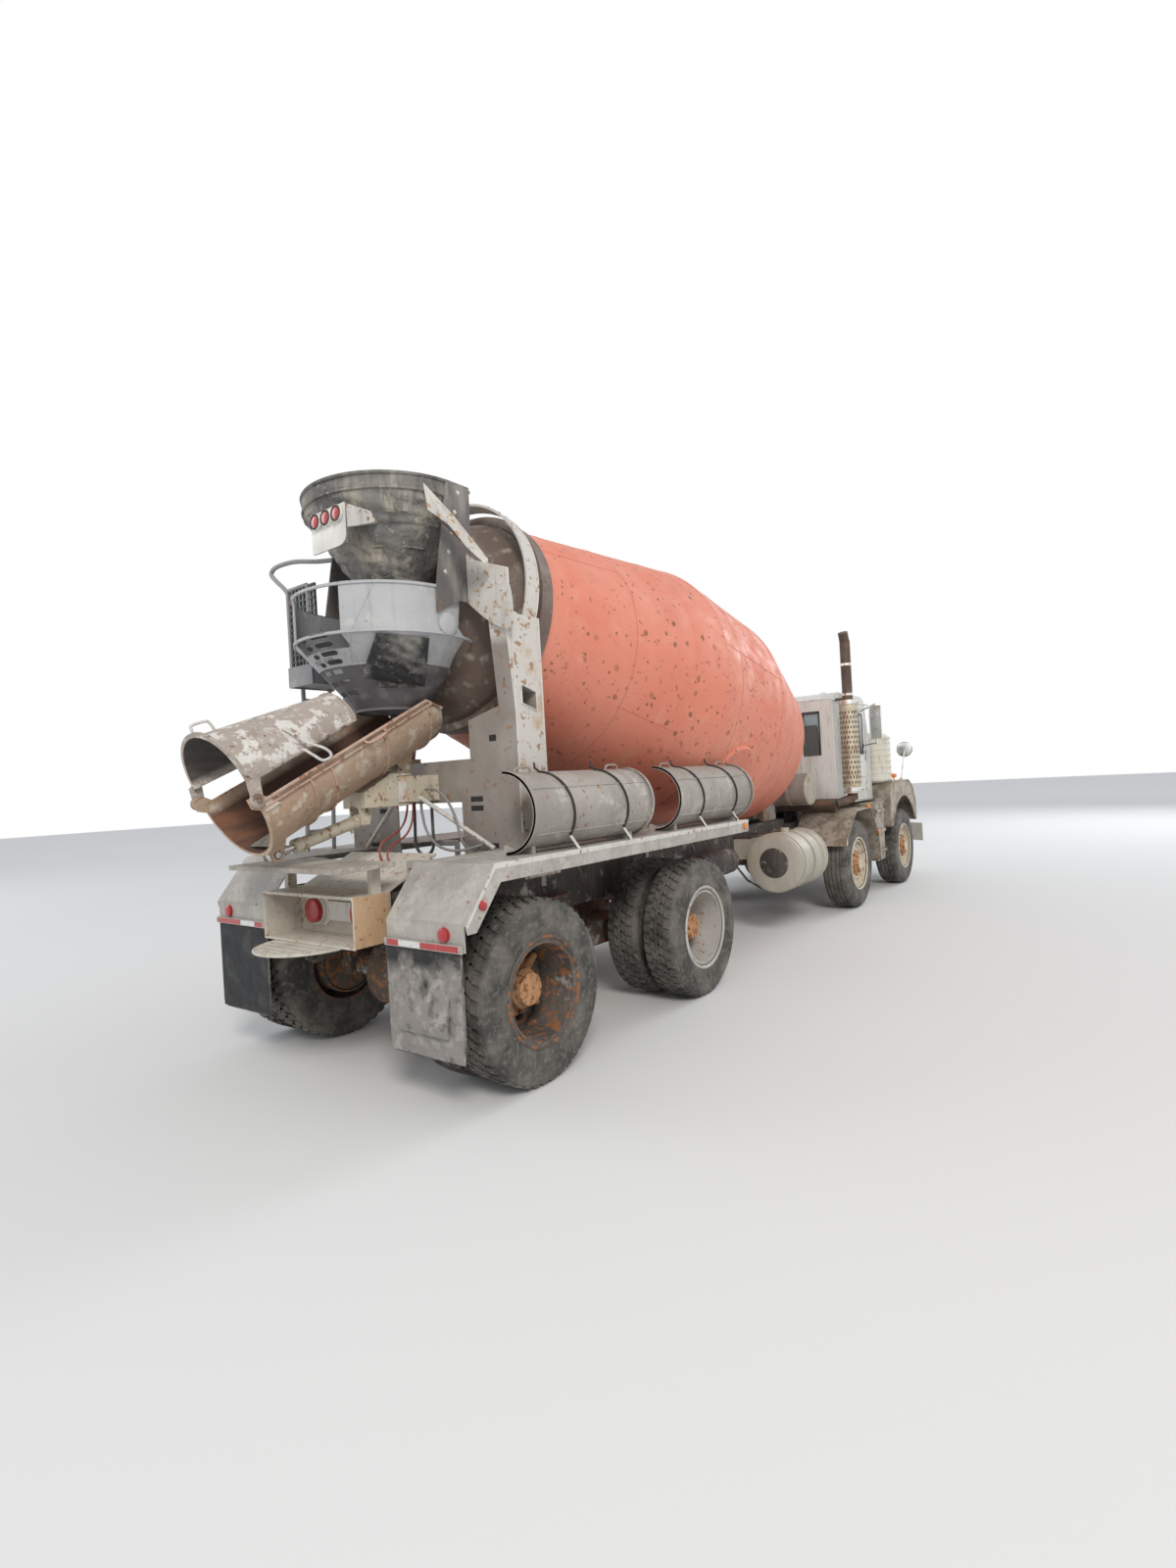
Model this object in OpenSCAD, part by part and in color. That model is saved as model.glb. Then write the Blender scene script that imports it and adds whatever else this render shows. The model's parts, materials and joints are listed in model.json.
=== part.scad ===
// Concrete mixer truck with four axles: two steered in front, two driven behind.
// X runs forward, Y to the left, Z up from the ground. The modules measure X from the
// rearmost axle, and row() moves the whole truck so that its middle is at X = 0.

/* [Axles] */
// Rearmost axle to the next one forward
axle_gap_rear = 1913; // [1850:10:1980]
// Third axle to the second, under the cab
axle_gap_middle = 4020; // [3950:10:4100]
// Second axle to the front one
axle_gap_front = 2100; // [2050:10:2150]
// Radius of an axle's spindle in its hub
spindle_r = 40; // [35:1:45]
// Running gap of a spindle in its hub, all round
spindle_gap = 0.05; // [0.02:0.01:0.09]
// Outside radius of the driven axles' tubes
axle_tube_r = 75; // [65:5:85]

/* [Wheels] */
// Outer diameter of every tyre
tyre_d = 1050; // [1030:5:1060]
// Width of a tyre of the twin wheels
twin_tyre_w = 270; // [255:5:280]
// Gap between the tyres of a twin wheel
twin_gap = 50; // [40:2:60]
// Width of a front tyre
front_tyre_w = 300; // [280:5:310]
// Diameter over the rim's flanges
rim_d = 600; // [580:5:620]
// Thickness of the rim's barrel and disc
rim_t = 14; // [10:1:18]
// Middle of the truck to the outer wall of the twin tyres
twin_reach = 1205; // [1190:5:1215]
// Middle of the truck to the outer wall of the front tyres
front_reach = 1160; // [1150:5:1170]
// Middle of the truck to the steering pivots
kingpin_y = 830; // [815:5:840]
// Radius of a steering pivot
kingpin_r = 25; // [22:1:28]

/* [Frame] */
// Top of the frame rails
rail_top = 1030; // [1020:5:1040]
// Height of the frame rails
rail_h = 270; // [250:10:280]
// Outside width over the frame rails
rail_w = 860; // [840:10:880]
// Thickness of a rail's steel
rail_t = 12; // [8:1:16]
// Width of a rail's flange
rail_flange = 90; // [80:5:100]
// Height of the mixer's own rails on top of the frame
subframe_h = 75; // [60:5:80]
// Rear end of the frame
rail_rear_x = -445; // [-450:1:-440]
// Front end of the frame
rail_front_x = 8960; // [8940:10:8980]

/* [Drum] */
// Tilt of the drum's axis, lower at the front
drum_tilt = 11.2; // [10.8:0.1:11.6]
// Place of the roller ring's middle along the truck
ring_x = 700; // [690:5:720]
// Height of the roller ring's middle
ring_z = 2876; // [2866:2:2896]
// Outside radius of the roller ring
ring_r = 800; // [790:5:810]
// Width of the roller ring's track
ring_w = 110; // [90:5:130]
// Thickness of the drum's shell
shell_t = 8; // [6:1:12]
// Radius of the drum at its widest
drum_r = 1190; // [1170:5:1195]
// Radius of the drum's mouth
mouth_r = 470; // [450:5:490]
// Radius of the rollers that carry the ring
roller_r = 130; // [120:2:140]

/* [Chutes] */
// Slope of the main chute at rest
chute_slope = 27; // [26:0.5:28]
// Inside radius of the chutes
chute_r = 272; // [260:2:280]
// Depth of the straight walls above the chute's round bottom
chute_wall_h = 40; // [30:5:45]
// Steel of the chutes
chute_t = 6; // [5:1:10]
// Place of the swing post along the truck
post_x = 0; // [-15:5:15]
// Radius of the swing post
post_r = 45; // [40:1:50]

/* [Cab] */
// Rear wall of the cab
cab_rear_x = 5800; // [5790:5:5820]
// Front wall of the cab
cab_front_x = 7280; // [7260:5:7300]
// Outside width of the cab
cab_w = 1920; // [1890:10:1930]
// Underside of the cab
cab_floor_z = 1235; // [1230:5:1245]
// Top of the cab's walls
cab_top_z = 2530; // [2510:5:2550]
// Thickness of the cab's walls and doors
cab_wall = 45; // [35:5:50]

/* [Hidden] */
$fn = 48;
// Middle of the truck's length, from the rearmost axle
mid_x = 3926;
// Gap that keeps pieces of different bodies apart where they only rest on each other
rest_gap = 0.3;
wheel_z = tyre_d / 2;
axle_4_x = 0;
axle_3_x = axle_gap_rear;
axle_2_x = axle_3_x + axle_gap_middle;
axle_1_x = axle_2_x + axle_gap_front;
rail_y = rail_w / 2;
rail_bottom = rail_top - rail_h;
deck_z = rail_top + subframe_h;
rim_r = rim_d / 2;
cab_y = cab_w / 2;

// Helpers. Side outlines are lists of [x, z] and cross outlines lists of [y, z].
module row() {
    translate([-mid_x, 0, 0]) children();
}
module both() {
    children();
    mirror([0, 1, 0]) children();
}
module box(x, y, z) {
    translate([x[0], y[0], z[0]]) cube([x[1] - x[0], y[1] - y[0], z[1] - z[0]]);
}
module side_plate(outline, y) {
    translate([0, y[1], 0]) rotate([90, 0, 0]) linear_extrude(y[1] - y[0]) polygon(outline);
}
module cross_plate(outline, x) {
    translate([x[0], 0, 0]) rotate([90, 0, 90]) linear_extrude(x[1] - x[0]) polygon(outline);
}
module bar(from, to, r) {
    run = to - from;
    translate(from)
        rotate([0, acos(run[2] / norm(run)), atan2(run[1], run[0])])
            cylinder(h = norm(run), r = r);
}
function shift(middle, span) = [for (v = span) middle + v];
function mirrored(side) = side == "right" ? 1 : 0;

// Wheels are drawn on the left side about their axle and mirrored for the right.
twin_middle_y = twin_reach - twin_tyre_w - twin_gap / 2;
twin_outer = [twin_reach - twin_tyre_w, twin_reach];
twin_inner = [twin_reach - 2 * twin_tyre_w - twin_gap, twin_reach - twin_tyre_w - twin_gap];
front_span = [front_reach - front_tyre_w, front_reach];
front_disc_y = front_reach - 75;
bead_in = 35;
bead_r = rim_r - 20;
brake_r = 205;
hub_r = 105;
module at_wheel(axle_x, side) {
    row() translate([axle_x, 0, wheel_z]) mirror([0, mirrored(side), 0]) children();
}
module spun() {
    rotate([-90, 0, 0]) rotate_extrude($fn = 72) children();
}
module band(r, y) {
    translate([r[0], y[0]]) square([r[1] - r[0], y[1] - y[0]]);
}
module tyre_profile(span) {
    // Each row is [radius, distance in from the tyre's side]
    wall = [
        [bead_r, bead_in], [rim_r + 10, bead_in], [rim_r + 60, 8], [rim_r + 110, 0],
        [wheel_z - 60, 5], [wheel_z - 16, 24], [wheel_z, 58]
    ];
    near = [for (p = wall) [p[0], span[0] + p[1]]];
    far = [for (i = [len(wall) - 1:-1:0]) [wall[i][0], span[1] - wall[i][1]]];
    polygon(concat(near, far));
}
module tyre(span) {
    color("#2b2a29") spun() tyre_profile(span);
}
module rim_seat(span) {
    barrel = [bead_r - rest_gap - rim_t, bead_r - rest_gap];
    band(barrel, [span[0] + bead_in - rim_t, span[1] - bead_in + rim_t]);
    for (y = [span[0] + bead_in - rim_t, span[1] - bead_in + rest_gap])
        band([barrel[0], rim_r + 8], [y, y + rim_t - rest_gap]);
}
module hub_bore(to_y) {
    rotate([-90, 0, 0]) cylinder(h = to_y, r = spindle_r + spindle_gap);
}
module hand_holes(y, count) {
    for (i = [0:count - 1])
        rotate([0, i * 360 / count, 0]) translate([rim_r - 90, y, 0])
            rotate([90, 0, 0]) cylinder(h = 80, r = 27, center = true, $fn = 24);
}
module twin_rim() {
    color("#a9a39a") difference() {
        spun() {
            rim_seat(twin_outer);
            rim_seat(twin_inner);
            band([hub_r - 10, bead_r - rest_gap - 1], shift(twin_middle_y, [-rim_t, rim_t]));
            band([bead_r - rest_gap - rim_t, bead_r - rest_gap], [twin_inner[1] - bead_in, twin_outer[0] + bead_in]);
            band([brake_r, brake_r + 12], [twin_inner[0] - 15, twin_middle_y]);
            band([0, hub_r], shift(twin_middle_y, [-120, 120]));
            band([0, hub_r - 20], shift(twin_middle_y, [100, 175]));
        }
        hub_bore(twin_middle_y + 90);
        hand_holes(twin_middle_y, 5);
    }
}
module front_rim() {
    color("#d8cfba") difference() {
        spun() {
            rim_seat(front_span);
            band([hub_r - 10, bead_r - rest_gap - 1], shift(front_disc_y, [0, rim_t]));
            band([brake_r, brake_r + 12], [front_span[0] + 55, front_disc_y + 1]);
            band([0, hub_r], [front_disc_y - 120, front_disc_y + 40]);
            band([0, hub_r - 30], [front_disc_y, front_disc_y + 85]);
        }
        hub_bore(front_disc_y + 30);
        hand_holes(front_disc_y, 10);
    }
}
module front_tyre_at(axle_x, side) {
    at_wheel(axle_x, side) tyre(front_span);
}
module twin_tyres_at(axle_x, side) {
    at_wheel(axle_x, side) {
        tyre(twin_outer);
        tyre(twin_inner);
    }
}

// Axles. The driven ones are tubes with a round housing, the steered ones beams with an eye
// at each end for the steering pivot.
eye_r = 48;
eye_h = 120;
beam_h = 90;
beam_drop = 10;
module driven_axle(axle_x) {
    translate([axle_x, 0, wheel_z]) {
        both() {
            rotate([-90, 0, 0]) cylinder(h = twin_inner[0] + 30, r = axle_tube_r);
            rotate([-90, 0, 0]) cylinder(h = twin_middle_y + 80, r = spindle_r);
            translate([0, twin_inner[0] - 10, 0]) rotate([-90, 0, 0]) cylinder(h = 12, r = brake_r - 8);
        }
        rotate([-90, 0, 0]) translate([0, 0, -110]) cylinder(h = 220, r = 230);
        rotate([0, 90, 0]) cylinder(h = 330, r = 110);
    }
}
module steered_axle(axle_x) {
    translate([axle_x, 0, wheel_z]) difference() {
        union() {
            box([-40, 40], [-kingpin_y, kingpin_y], [-beam_h / 2 - beam_drop, beam_h / 2 - beam_drop]);
            both() translate([0, kingpin_y, -eye_h / 2]) cylinder(h = eye_h, r = eye_r);
        }
        both() translate([0, kingpin_y, -eye_h]) cylinder(h = 2 * eye_h, r = kingpin_r + spindle_gap);
    }
}
module axles() {
    row() color("#5a4a3c") {
        driven_axle(axle_4_x);
        driven_axle(axle_3_x);
        steered_axle(axle_2_x);
        steered_axle(axle_1_x);
    }
}
ear_gap = 2;
ear_t = 38;
module knuckle() {
    color("#4b443d") {
        translate([0, kingpin_y, -eye_h / 2 - ear_gap - ear_t])
            cylinder(h = eye_h + 2 * (ear_gap + ear_t), r = kingpin_r);
        for (z = [-eye_h / 2 - ear_gap - ear_t, eye_h / 2 + ear_gap]) {
            translate([0, kingpin_y, z]) cylinder(h = ear_t, r = eye_r);
            box([-eye_r, eye_r], shift(kingpin_y, [0, eye_r + 20]), [z, z + ear_t]);
        }
        box([-eye_r, eye_r], shift(kingpin_y, [eye_r + 4, eye_r + 24]), [-1, 1] * (eye_h / 2 + ear_gap + ear_t));
        translate([0, kingpin_y + eye_r + 20, 0]) rotate([-90, 0, 0])
            cylinder(h = front_disc_y + 20 - kingpin_y - eye_r - 20, r = spindle_r);
        translate([0, kingpin_y + eye_r + 14, 0]) rotate([-90, 0, 0]) cylinder(h = 12, r = brake_r - 8);
        box([-200, 0], shift(kingpin_y, [-45, -10]), [-1, 0] * (ear_t - 10) + [-1, -1] * (eye_h / 2 + ear_gap + 5));
    }
}

// Springs: four packs of leaves over the steered axles and two over the walking beams.
spring_y = [440, 520];
module leaf_pack(x, z, half_length, rise, leaves) {
    for (i = [0:leaves - 1]) {
        reach = half_length * (1 - 0.14 * i);
        lift = rise * pow(1 - 0.14 * i, 2);
        z0 = z - 13 * i;
        side_plate([
            [x - reach, z0 + lift], [x - reach / 2, z0 + lift / 4], [x, z0], [x + reach / 2, z0 + lift / 4],
            [x + reach, z0 + lift], [x + reach, z0 + lift - 12], [x + reach / 2, z0 + lift / 4 - 13],
            [x, z0 - 13.5], [x - reach / 2, z0 + lift / 4 - 13], [x - reach, z0 + lift - 12]
        ], spring_y);
    }
}
module front_spring(axle_x) {
    seat_z = wheel_z + beam_h / 2 - beam_drop + rest_gap;
    leaf_pack(axle_x, seat_z + 66, 560, 95, 5);
    box(shift(axle_x, [-60, 60]), spring_y, [seat_z, seat_z + 20]);
    for (end = [-1, 1]) {
        hanger_x = axle_x + end * 545;
        difference() {
            side_plate([
                [hanger_x - 45, rail_bottom + 110], [hanger_x + 45, rail_bottom + 110],
                [hanger_x + 30, seat_z + 120], [hanger_x - 30, seat_z + 120]
            ], [rail_y + rest_gap, spring_y[1] + 10]);
            box(shift(hanger_x, [-60, 60]), [spring_y[0] - 2, spring_y[1] + 0], [seat_z + 100, seat_z + 150]);
        }
    }
}
beam_mid_x = axle_gap_rear / 2;
module walking_beam() {
    difference() {
        union() {
            side_plate([
                [-110, wheel_z - 60], [150, wheel_z - 95], [axle_3_x - 150, wheel_z - 95],
                [axle_3_x + 110, wheel_z - 60], [axle_3_x + 110, wheel_z + 100], [axle_3_x - 150, wheel_z + 75],
                [150, wheel_z + 75], [-110, wheel_z + 100]
            ], spring_y);
            side_plate([
                [beam_mid_x - 110, wheel_z + 50], [beam_mid_x + 110, wheel_z + 50],
                [beam_mid_x + 170, rail_bottom + 120], [beam_mid_x - 170, rail_bottom + 120]
            ], [rail_y + rest_gap, spring_y[1]]);
        }
        for (x = [axle_4_x, axle_3_x]) translate([x, 0, wheel_z]) rotate([-90, 0, 0])
            cylinder(h = 700, r = axle_tube_r + rest_gap);
    }
}
module springs() {
    row() color("#4a413a") both() {
        front_spring(axle_1_x);
        front_spring(axle_2_x);
        walking_beam();
    }
}

// Frame: two channels, their cross members, and the mixer's rails on top.
cross_member_x = [-395, 350, 1500, 3000, 4700, 6250, 8800];
hood_hinge = [8900, 1062];
hood_pin_r = 10;
module rail() {
    difference() {
        box([rail_rear_x, rail_front_x], [rail_y - rail_flange, rail_y], [rail_bottom, rail_top]);
        box([rail_rear_x - 1, rail_front_x + 1], [rail_y - rail_flange - 1, rail_y - rail_t],
            [rail_bottom + rail_t, rail_top - rail_t]);
    }
}
module frame() {
    row() color("#3d3b39") {
        both() {
            rail();
            box([rail_rear_x + 40, 5450], [rail_y - rail_flange, rail_y], [rail_top - 1, deck_z]);
        }
        for (x = cross_member_x)
            box(shift(x, [-30, 30]), [-1, 1] * (rail_y - 2), [rail_top - 110, rail_top - 20]);
        tow_eye(tow_rear, 0) side_plate([
            [-370, 990], [-370, 760], [tow_rear[0], tow_rear[1] - 50], [tow_rear[0] - 50, tow_rear[1] - 20],
            [tow_rear[0] - 50, tow_rear[1] + 30], [-440, 815], [-420, 860], [-420, 990]
        ], [-tow_t / 2, tow_t / 2]);
        both() {
            translate([hood_hinge[0], 370, hood_hinge[1]]) rotate([-90, 0, 0]) cylinder(h = 15, r = 14);
            box(shift(hood_hinge[0], [-14, 14]), [370, 385], [rail_top - 1, hood_hinge[1]]);
            translate([hood_hinge[0], 340, hood_hinge[1]]) rotate([-90, 0, 0]) cylinder(h = 45, r = hood_pin_r);
        }
    }
}

// Tow eyes: one under each bumper bracket and one behind the rear cross member.
tow_bore_r = 25;
tow_t = 30;
tow_front = [9080, 455];
tow_rear = [-665, 770];
module tow_eye(place, y) {
    difference() {
        children();
        translate([place[0], y - tow_t, place[1]]) rotate([-90, 0, 0]) cylinder(h = 2 * tow_t, r = tow_bore_r);
    }
}
// Bumper: a bent plate with its ends swept back, on two brackets.
bumper_front_x = 9150;
module front_bumper() {
    row() color("#c9c4b8") {
        translate([0, 0, 500]) linear_extrude(270) polygon([
            [bumper_front_x - 120, -1180], [bumper_front_x - 20, -1000], [bumper_front_x, -850],
            [bumper_front_x, 850], [bumper_front_x - 20, 1000], [bumper_front_x - 120, 1180],
            [bumper_front_x - 132, 1174], [bumper_front_x - 32, 996], [bumper_front_x - 12, 848],
            [bumper_front_x - 12, -848], [bumper_front_x - 32, -996], [bumper_front_x - 132, -1174]
        ]);
        both() box([rail_front_x + rest_gap, bumper_front_x - 6], [340, 430], [560, 770]);
        both() tow_eye(tow_front, 385) side_plate([
            [rail_front_x + 5, 600], [rail_front_x + 5, 480], [tow_front[0] - 20, 410], [tow_front[0] + 35, 410],
            [tow_front[0] + 50, 440], [tow_front[0] + 50, 600]
        ], shift(385, [-tow_t / 2, tow_t / 2]));
        both() box([rail_front_x - 80, rail_front_x + 20], [340, 430], [560, rail_bottom - rest_gap]);
    }
}

// Engine and gearbox as one block, with the shafts back to the driven axles.
module powertrain() {
    row() color("#6d6a63") {
        box([7520, 8500], [-320, 320], [800, 1600]);
        box([6950 + 60, 7521], [-210, 210], [830, 1150]);
        box([7800, 7880], [-1, 1] * (rail_y - rail_t - rest_gap), [850, 920]);
        bar([7020, 0, 930], [6300, 0, 850], 55);
        bar([6300, 0, 850], [axle_3_x + 375, 0, wheel_z], 50);
        translate([axle_3_x + 330 + rest_gap, 0, wheel_z]) rotate([0, 90, 0]) cylinder(h = 55, r = 60);
        box([8600, 8680], [-420, 420], [rail_top + rest_gap, 1600]);
        bar([axle_3_x - 230 - rest_gap, 0, wheel_z], [axle_4_x + 330 + rest_gap, 0, wheel_z], 45);
    }
}

// Cylindrical tanks beside the frame, fuel on the right and water on the left.
tank_r = 290;
tank_x = [3930, 4650];
tank_y = 925;
tank_z = 765;
module tank() {
    translate([tank_x[0], tank_y, tank_z]) rotate([0, 90, 0]) {
        cylinder(h = tank_x[1] - tank_x[0], r = tank_r);
        for (x = [0, 120, tank_x[1] - tank_x[0] - 160, tank_x[1] - tank_x[0] - 25])
            translate([0, 0, x]) cylinder(h = 25, r = tank_r + 8);
        translate([10 - tank_r, 0, 300]) rotate([0, -90, 0]) cylinder(h = 50, r = 45);
    }
    for (x = [tank_x[0] + 120, tank_x[1] - 160])
        difference() {
            box([x, x + 60], [rail_y + rest_gap, tank_y], [rail_bottom + 20, rail_top - 40]);
            translate([x - 1, tank_y, tank_z]) rotate([0, 90, 0]) cylinder(h = 62, r = tank_r - 1);
        }
}
module tanks() {
    row() color("#d5d0be") both() tank();
}

// The drum turns about its tilted axis. Stations are measured along the axis from the ring.
module on_drum_axis(station) {
    row() translate([ring_x, 0, ring_z]) rotate([0, 90 + drum_tilt, 0])
        translate([0, 0, station]) children();
}
mouth_s = -520;
// Each row is [station, outside radius]
drum_stations = [
    [mouth_s, mouth_r], [mouth_s + 90, mouth_r + 20], [-90, ring_r - 75], [0, ring_r - 45],
    [1920, drum_r], [3120, drum_r], [4262, 945], [4500, 560]
];
drum_end_s = 4500;
module drum_profile() {
    outer = [for (p = drum_stations) [p[1], p[0]]];
    inner = [for (i = [len(drum_stations) - 1:-1:0])
        [drum_stations[i][1] - shell_t, min(drum_stations[i][0], drum_end_s - shell_t)]];
    polygon(concat(outer, [[0, drum_end_s], [0, drum_end_s - shell_t]], inner));
}
shaft_r = 90;
module drum_shell() {
    color("#d3705a") on_drum_axis(0) {
        rotate_extrude($fn = 96) {
            drum_profile();
            translate([ring_r - 60, -ring_w / 2]) square([60, ring_w]);
            translate([mouth_r - 30, mouth_s]) square([40, 30]);
        }
        translate([0, 0, drum_end_s - 1]) cylinder(h = 30, r = 240);
        translate([0, 0, drum_end_s]) cylinder(h = 200, r = shaft_r);
    }
}
roller_angle = 38;
roller_shaft_r = 30;
roller_ring_gap = 0.5;
module roller(side) {
    turn = side == "right" ? -roller_angle : roller_angle;
    reach = ring_r + roller_r + roller_ring_gap;
    color("#6b625a") on_drum_axis(0)
        translate([reach * cos(turn), reach * sin(turn), -ring_w / 2 - 10]) {
            cylinder(h = ring_w + 20, r = roller_r);
            translate([0, 0, -40]) cylinder(h = ring_w + 100, r = roller_shaft_r);
        }
}

// Gearbox and motor that turn the drum, on the front pedestal.
gearbox_s = [drum_end_s + 60, drum_end_s + 330];
module drum_gearbox() {
    color("#9a9383") on_drum_axis(0) difference() {
        union() {
            translate([0, 0, gearbox_s[0]]) cylinder(h = gearbox_s[1] - gearbox_s[0], r = 260);
            translate([0, 0, gearbox_s[1]]) cylinder(h = 160, r = 110);
            translate([0, 0, gearbox_s[0]]) cylinder(h = 40, r = 300);
        }
        translate([0, 0, gearbox_s[0] - 1]) cylinder(h = 161, r = shaft_r + spindle_gap);
    }
}
gearbox_seat_z = 1640;
module front_pedestal() {
    row() color("#8d867a") {
        both() side_plate([
            [5080, deck_z + rest_gap], [5440, deck_z + rest_gap], [5400, gearbox_seat_z], [5150, gearbox_seat_z]
        ], [280, 330]);
        box([5120, 5420], [-330, 330], [deck_z + 60, deck_z + 110]);
        difference() {
            box([5160, 5400], [-330, 330], [gearbox_seat_z - 250, gearbox_seat_z + 80]);
            translate([ring_x, 0, ring_z]) rotate([0, 90 + drum_tilt, 0]) translate([0, 0, gearbox_s[0] - 60])
                cylinder(h = 600, r = 300 + rest_gap);
            box([5150, 5410], [-279, 279], [gearbox_seat_z - 400, gearbox_seat_z - 100]);
        }
        translate([5480, -760, 1450]) rotate([-90, 0, 0]) cylinder(h = 640, r = 190);
    }
}

// Rear pedestal: a portal of plates with a box leg each side, and an arch over the drum.
beam_half = 115;
beam_z = [1623, 1790];
leg_x = [270, 530];
leg_y = [715, 850];
portal_top = 2130;
portal_half = leg_y[0] - rest_gap;
portal_notch_z = 1880;
shelf_top = 1930;
bracket_y = [560 + rest_gap, 572];
module roller_cheeks() {
    reach = ring_r + roller_r + roller_ring_gap;
    for (turn = [-roller_angle, roller_angle])
        for (station = [-100, 78]) on_drum_axis(station) difference() {
            translate([reach * cos(turn) - 55, reach * sin(turn) - 60, 0]) cube([290, 120, 22]);
            translate([reach * cos(turn), reach * sin(turn), -1]) cylinder(h = 24, r = roller_shaft_r + spindle_gap);
        }
}
arch_s = [-230, -110];
arch_r = [800, 812];
module arch() {
    on_drum_axis(0) rotate([0, 0, 76]) rotate_extrude(angle = 208, $fn = 96)
        translate([arch_r[0], arch_s[0]]) square([arch_r[1] - arch_r[0], arch_s[1] - arch_s[0]]);
}
module rear_pedestal() {
    color("#a39c92") {
        roller_cheeks();
        arch();
        row() both() {
            difference() {
                side_plate([
                    [leg_x[0], deck_z + rest_gap], [leg_x[1] + 90, deck_z + rest_gap], [leg_x[1], 1800],
                    [leg_x[1], 2760], [leg_x[0] - 60, 2760], [leg_x[0], 2100]
                ], leg_y);
                side_plate([
                    [leg_x[0] + 60, 2200], [leg_x[1] - 60, 2160], [leg_x[1] - 60, 2280], [leg_x[0] + 60, 2320]
                ], [leg_y[0] - 1, leg_y[1] + 1]);
            }
            box([leg_x[0] + 14 + rest_gap, leg_x[1]], [340, leg_y[0] + 1], [deck_z + rest_gap, deck_z + 60]);
            box([leg_x[0] + 14 + rest_gap, 640], [480, leg_y[0] + 1], [shelf_top - 50, shelf_top]);
            cross_plate([[530, 3150], [530, 2900], [905, 2680], [905, 3010]], [leg_x[0] - 70, leg_x[0] - 58]);
            box([leg_x[0] - 60, leg_x[0] + 60], [leg_y[0] + 10, leg_y[1]], [2680, 2770]);
            side_plate([[120, 2860], [-70, 2760], [-70, 2900], [60, hopper_top_z], [250, hopper_top_z], [230, 2860]], bracket_y);
        }
        row() difference() {
            union() {
                box([post_x, leg_x[0] - rest_gap], [-beam_half, beam_half], beam_z);
                translate([post_x, 0, beam_z[0]]) cylinder(h = beam_z[1] - beam_z[0], r = beam_half);
            }
            translate([post_x, 0, beam_z[0] - 1]) cylinder(h = 400, r = post_r + spindle_gap);
        }
        row() cross_plate([
            [-portal_half, deck_z + rest_gap], [-330, deck_z + rest_gap], [-330, 1600], [330, 1600],
            [330, deck_z + rest_gap], [portal_half, deck_z + rest_gap], [portal_half, portal_top + 70],
            [430, portal_top], [430, portal_notch_z], [-430, portal_notch_z], [-430, portal_top],
            [-portal_half, portal_top + 70]
        ], [leg_x[0], leg_x[0] + 14]);
    }
}

// Hopper: a round funnel with a rolled band, cut flat in front, and a spout that reaches into the drum.
hopper_x = 100;
hopper_r = [235, 559.5];
hopper_z = [3040, 3505];
hopper_top_z = 3600;
hopper_front_x = 290;
hopper_t = 8;
module hopper_form(inset) {
    intersection() {
        union() {
            translate([hopper_x, 0, hopper_z[0] - inset])
                cylinder(h = hopper_z[1] - hopper_z[0] + inset, r1 = hopper_r[0] - inset, r2 = hopper_r[1] - inset);
            translate([hopper_x, 0, hopper_z[1]])
                cylinder(h = hopper_top_z - hopper_z[1] + inset, r = hopper_r[1] - inset);
        }
        box([-700, hopper_front_x - inset], [-700, 700], [2900, 3700]);
    }
}
drum_keep_off = 25;
module drum_notch() {
    translate([ring_x, 0, ring_z]) rotate([0, 90 + drum_tilt, 0]) rotate_extrude($fn = 96) polygon([
        [mouth_r - 30 - drum_keep_off, mouth_s - drum_keep_off], [mouth_r + 10 + drum_keep_off, mouth_s - drum_keep_off],
        [mouth_r + 20 + drum_keep_off, mouth_s + 90], [ring_r - 75 + drum_keep_off, -90],
        [ring_r - 75 - drum_keep_off, -90], [mouth_r - 20, mouth_s + 110], [mouth_r - 30 - drum_keep_off, mouth_s + 60]
    ]);
}
module hopper() {
    row() color("#6f6a61") {
        difference() {
            hopper_form(0);
            hopper_form(hopper_t);
            box([100, 700], [-205, 205], [hopper_z[0] - 50, 3420]);
            // Notch for the drum's rear end, which turns through the walls' line
            drum_notch();
        }
        side_plate([[-130, 3044], [60, 2925], [420, 2850], [420, 2858], [64, 2933], [-122, 3050]], [-232, 232]);
        for (y = [-240, 232])
            side_plate([[-130, 3044], [60, 2925], [420, 2850], [420, 3060], [215, 3046]], [y, y + 8]);
        // Lamp panel on the rear face, its gussets end in the funnel's wall
        box([-480, -468], [-280, 46], [3158, 3392]);
        side_plate([[-469, 3250], [-469, 3392], [-290, 3392], [-240, 3330]], [-276, -268]);
        side_plate([[-469, 3250], [-469, 3392], [-374, 3392], [-331, 3330]], [34, 42]);
    }
}

// Collector: a funnel under the drum's mouth, open towards the drum.
collector_x = -10;
collector_low_z = 2215;
collector_top_z = 2900;
module collector() {
    row() color("#a8a49c") {
        difference() {
            union() {
                translate([collector_x, 0, collector_low_z])
                    cylinder(h = 420, r1 = 200, r2 = 560);
                translate([collector_x, 0, collector_low_z + 420]) cylinder(h = 290, r = 560);
            }
            translate([collector_x, 0, collector_low_z - 0.1]) cylinder(h = 420.2, r1 = 192, r2 = 552);
            translate([collector_x, 0, collector_low_z + 419]) cylinder(h = 292, r = 552);
            translate([ring_x, 0, ring_z]) rotate([0, 90 + drum_tilt, 0]) translate([0, 0, mouth_s - 20])
                cylinder(h = 900, r = 620);
            box([-700, 0], [-230, 230], [2560, 3000]);
            for (i = [0:3]) for (j = [0, 1])
                translate([-600, 30 + 120 * j - 90, 2310 + 62 * i]) cube([620, 90, 26]);
        }
    }
}
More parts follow.
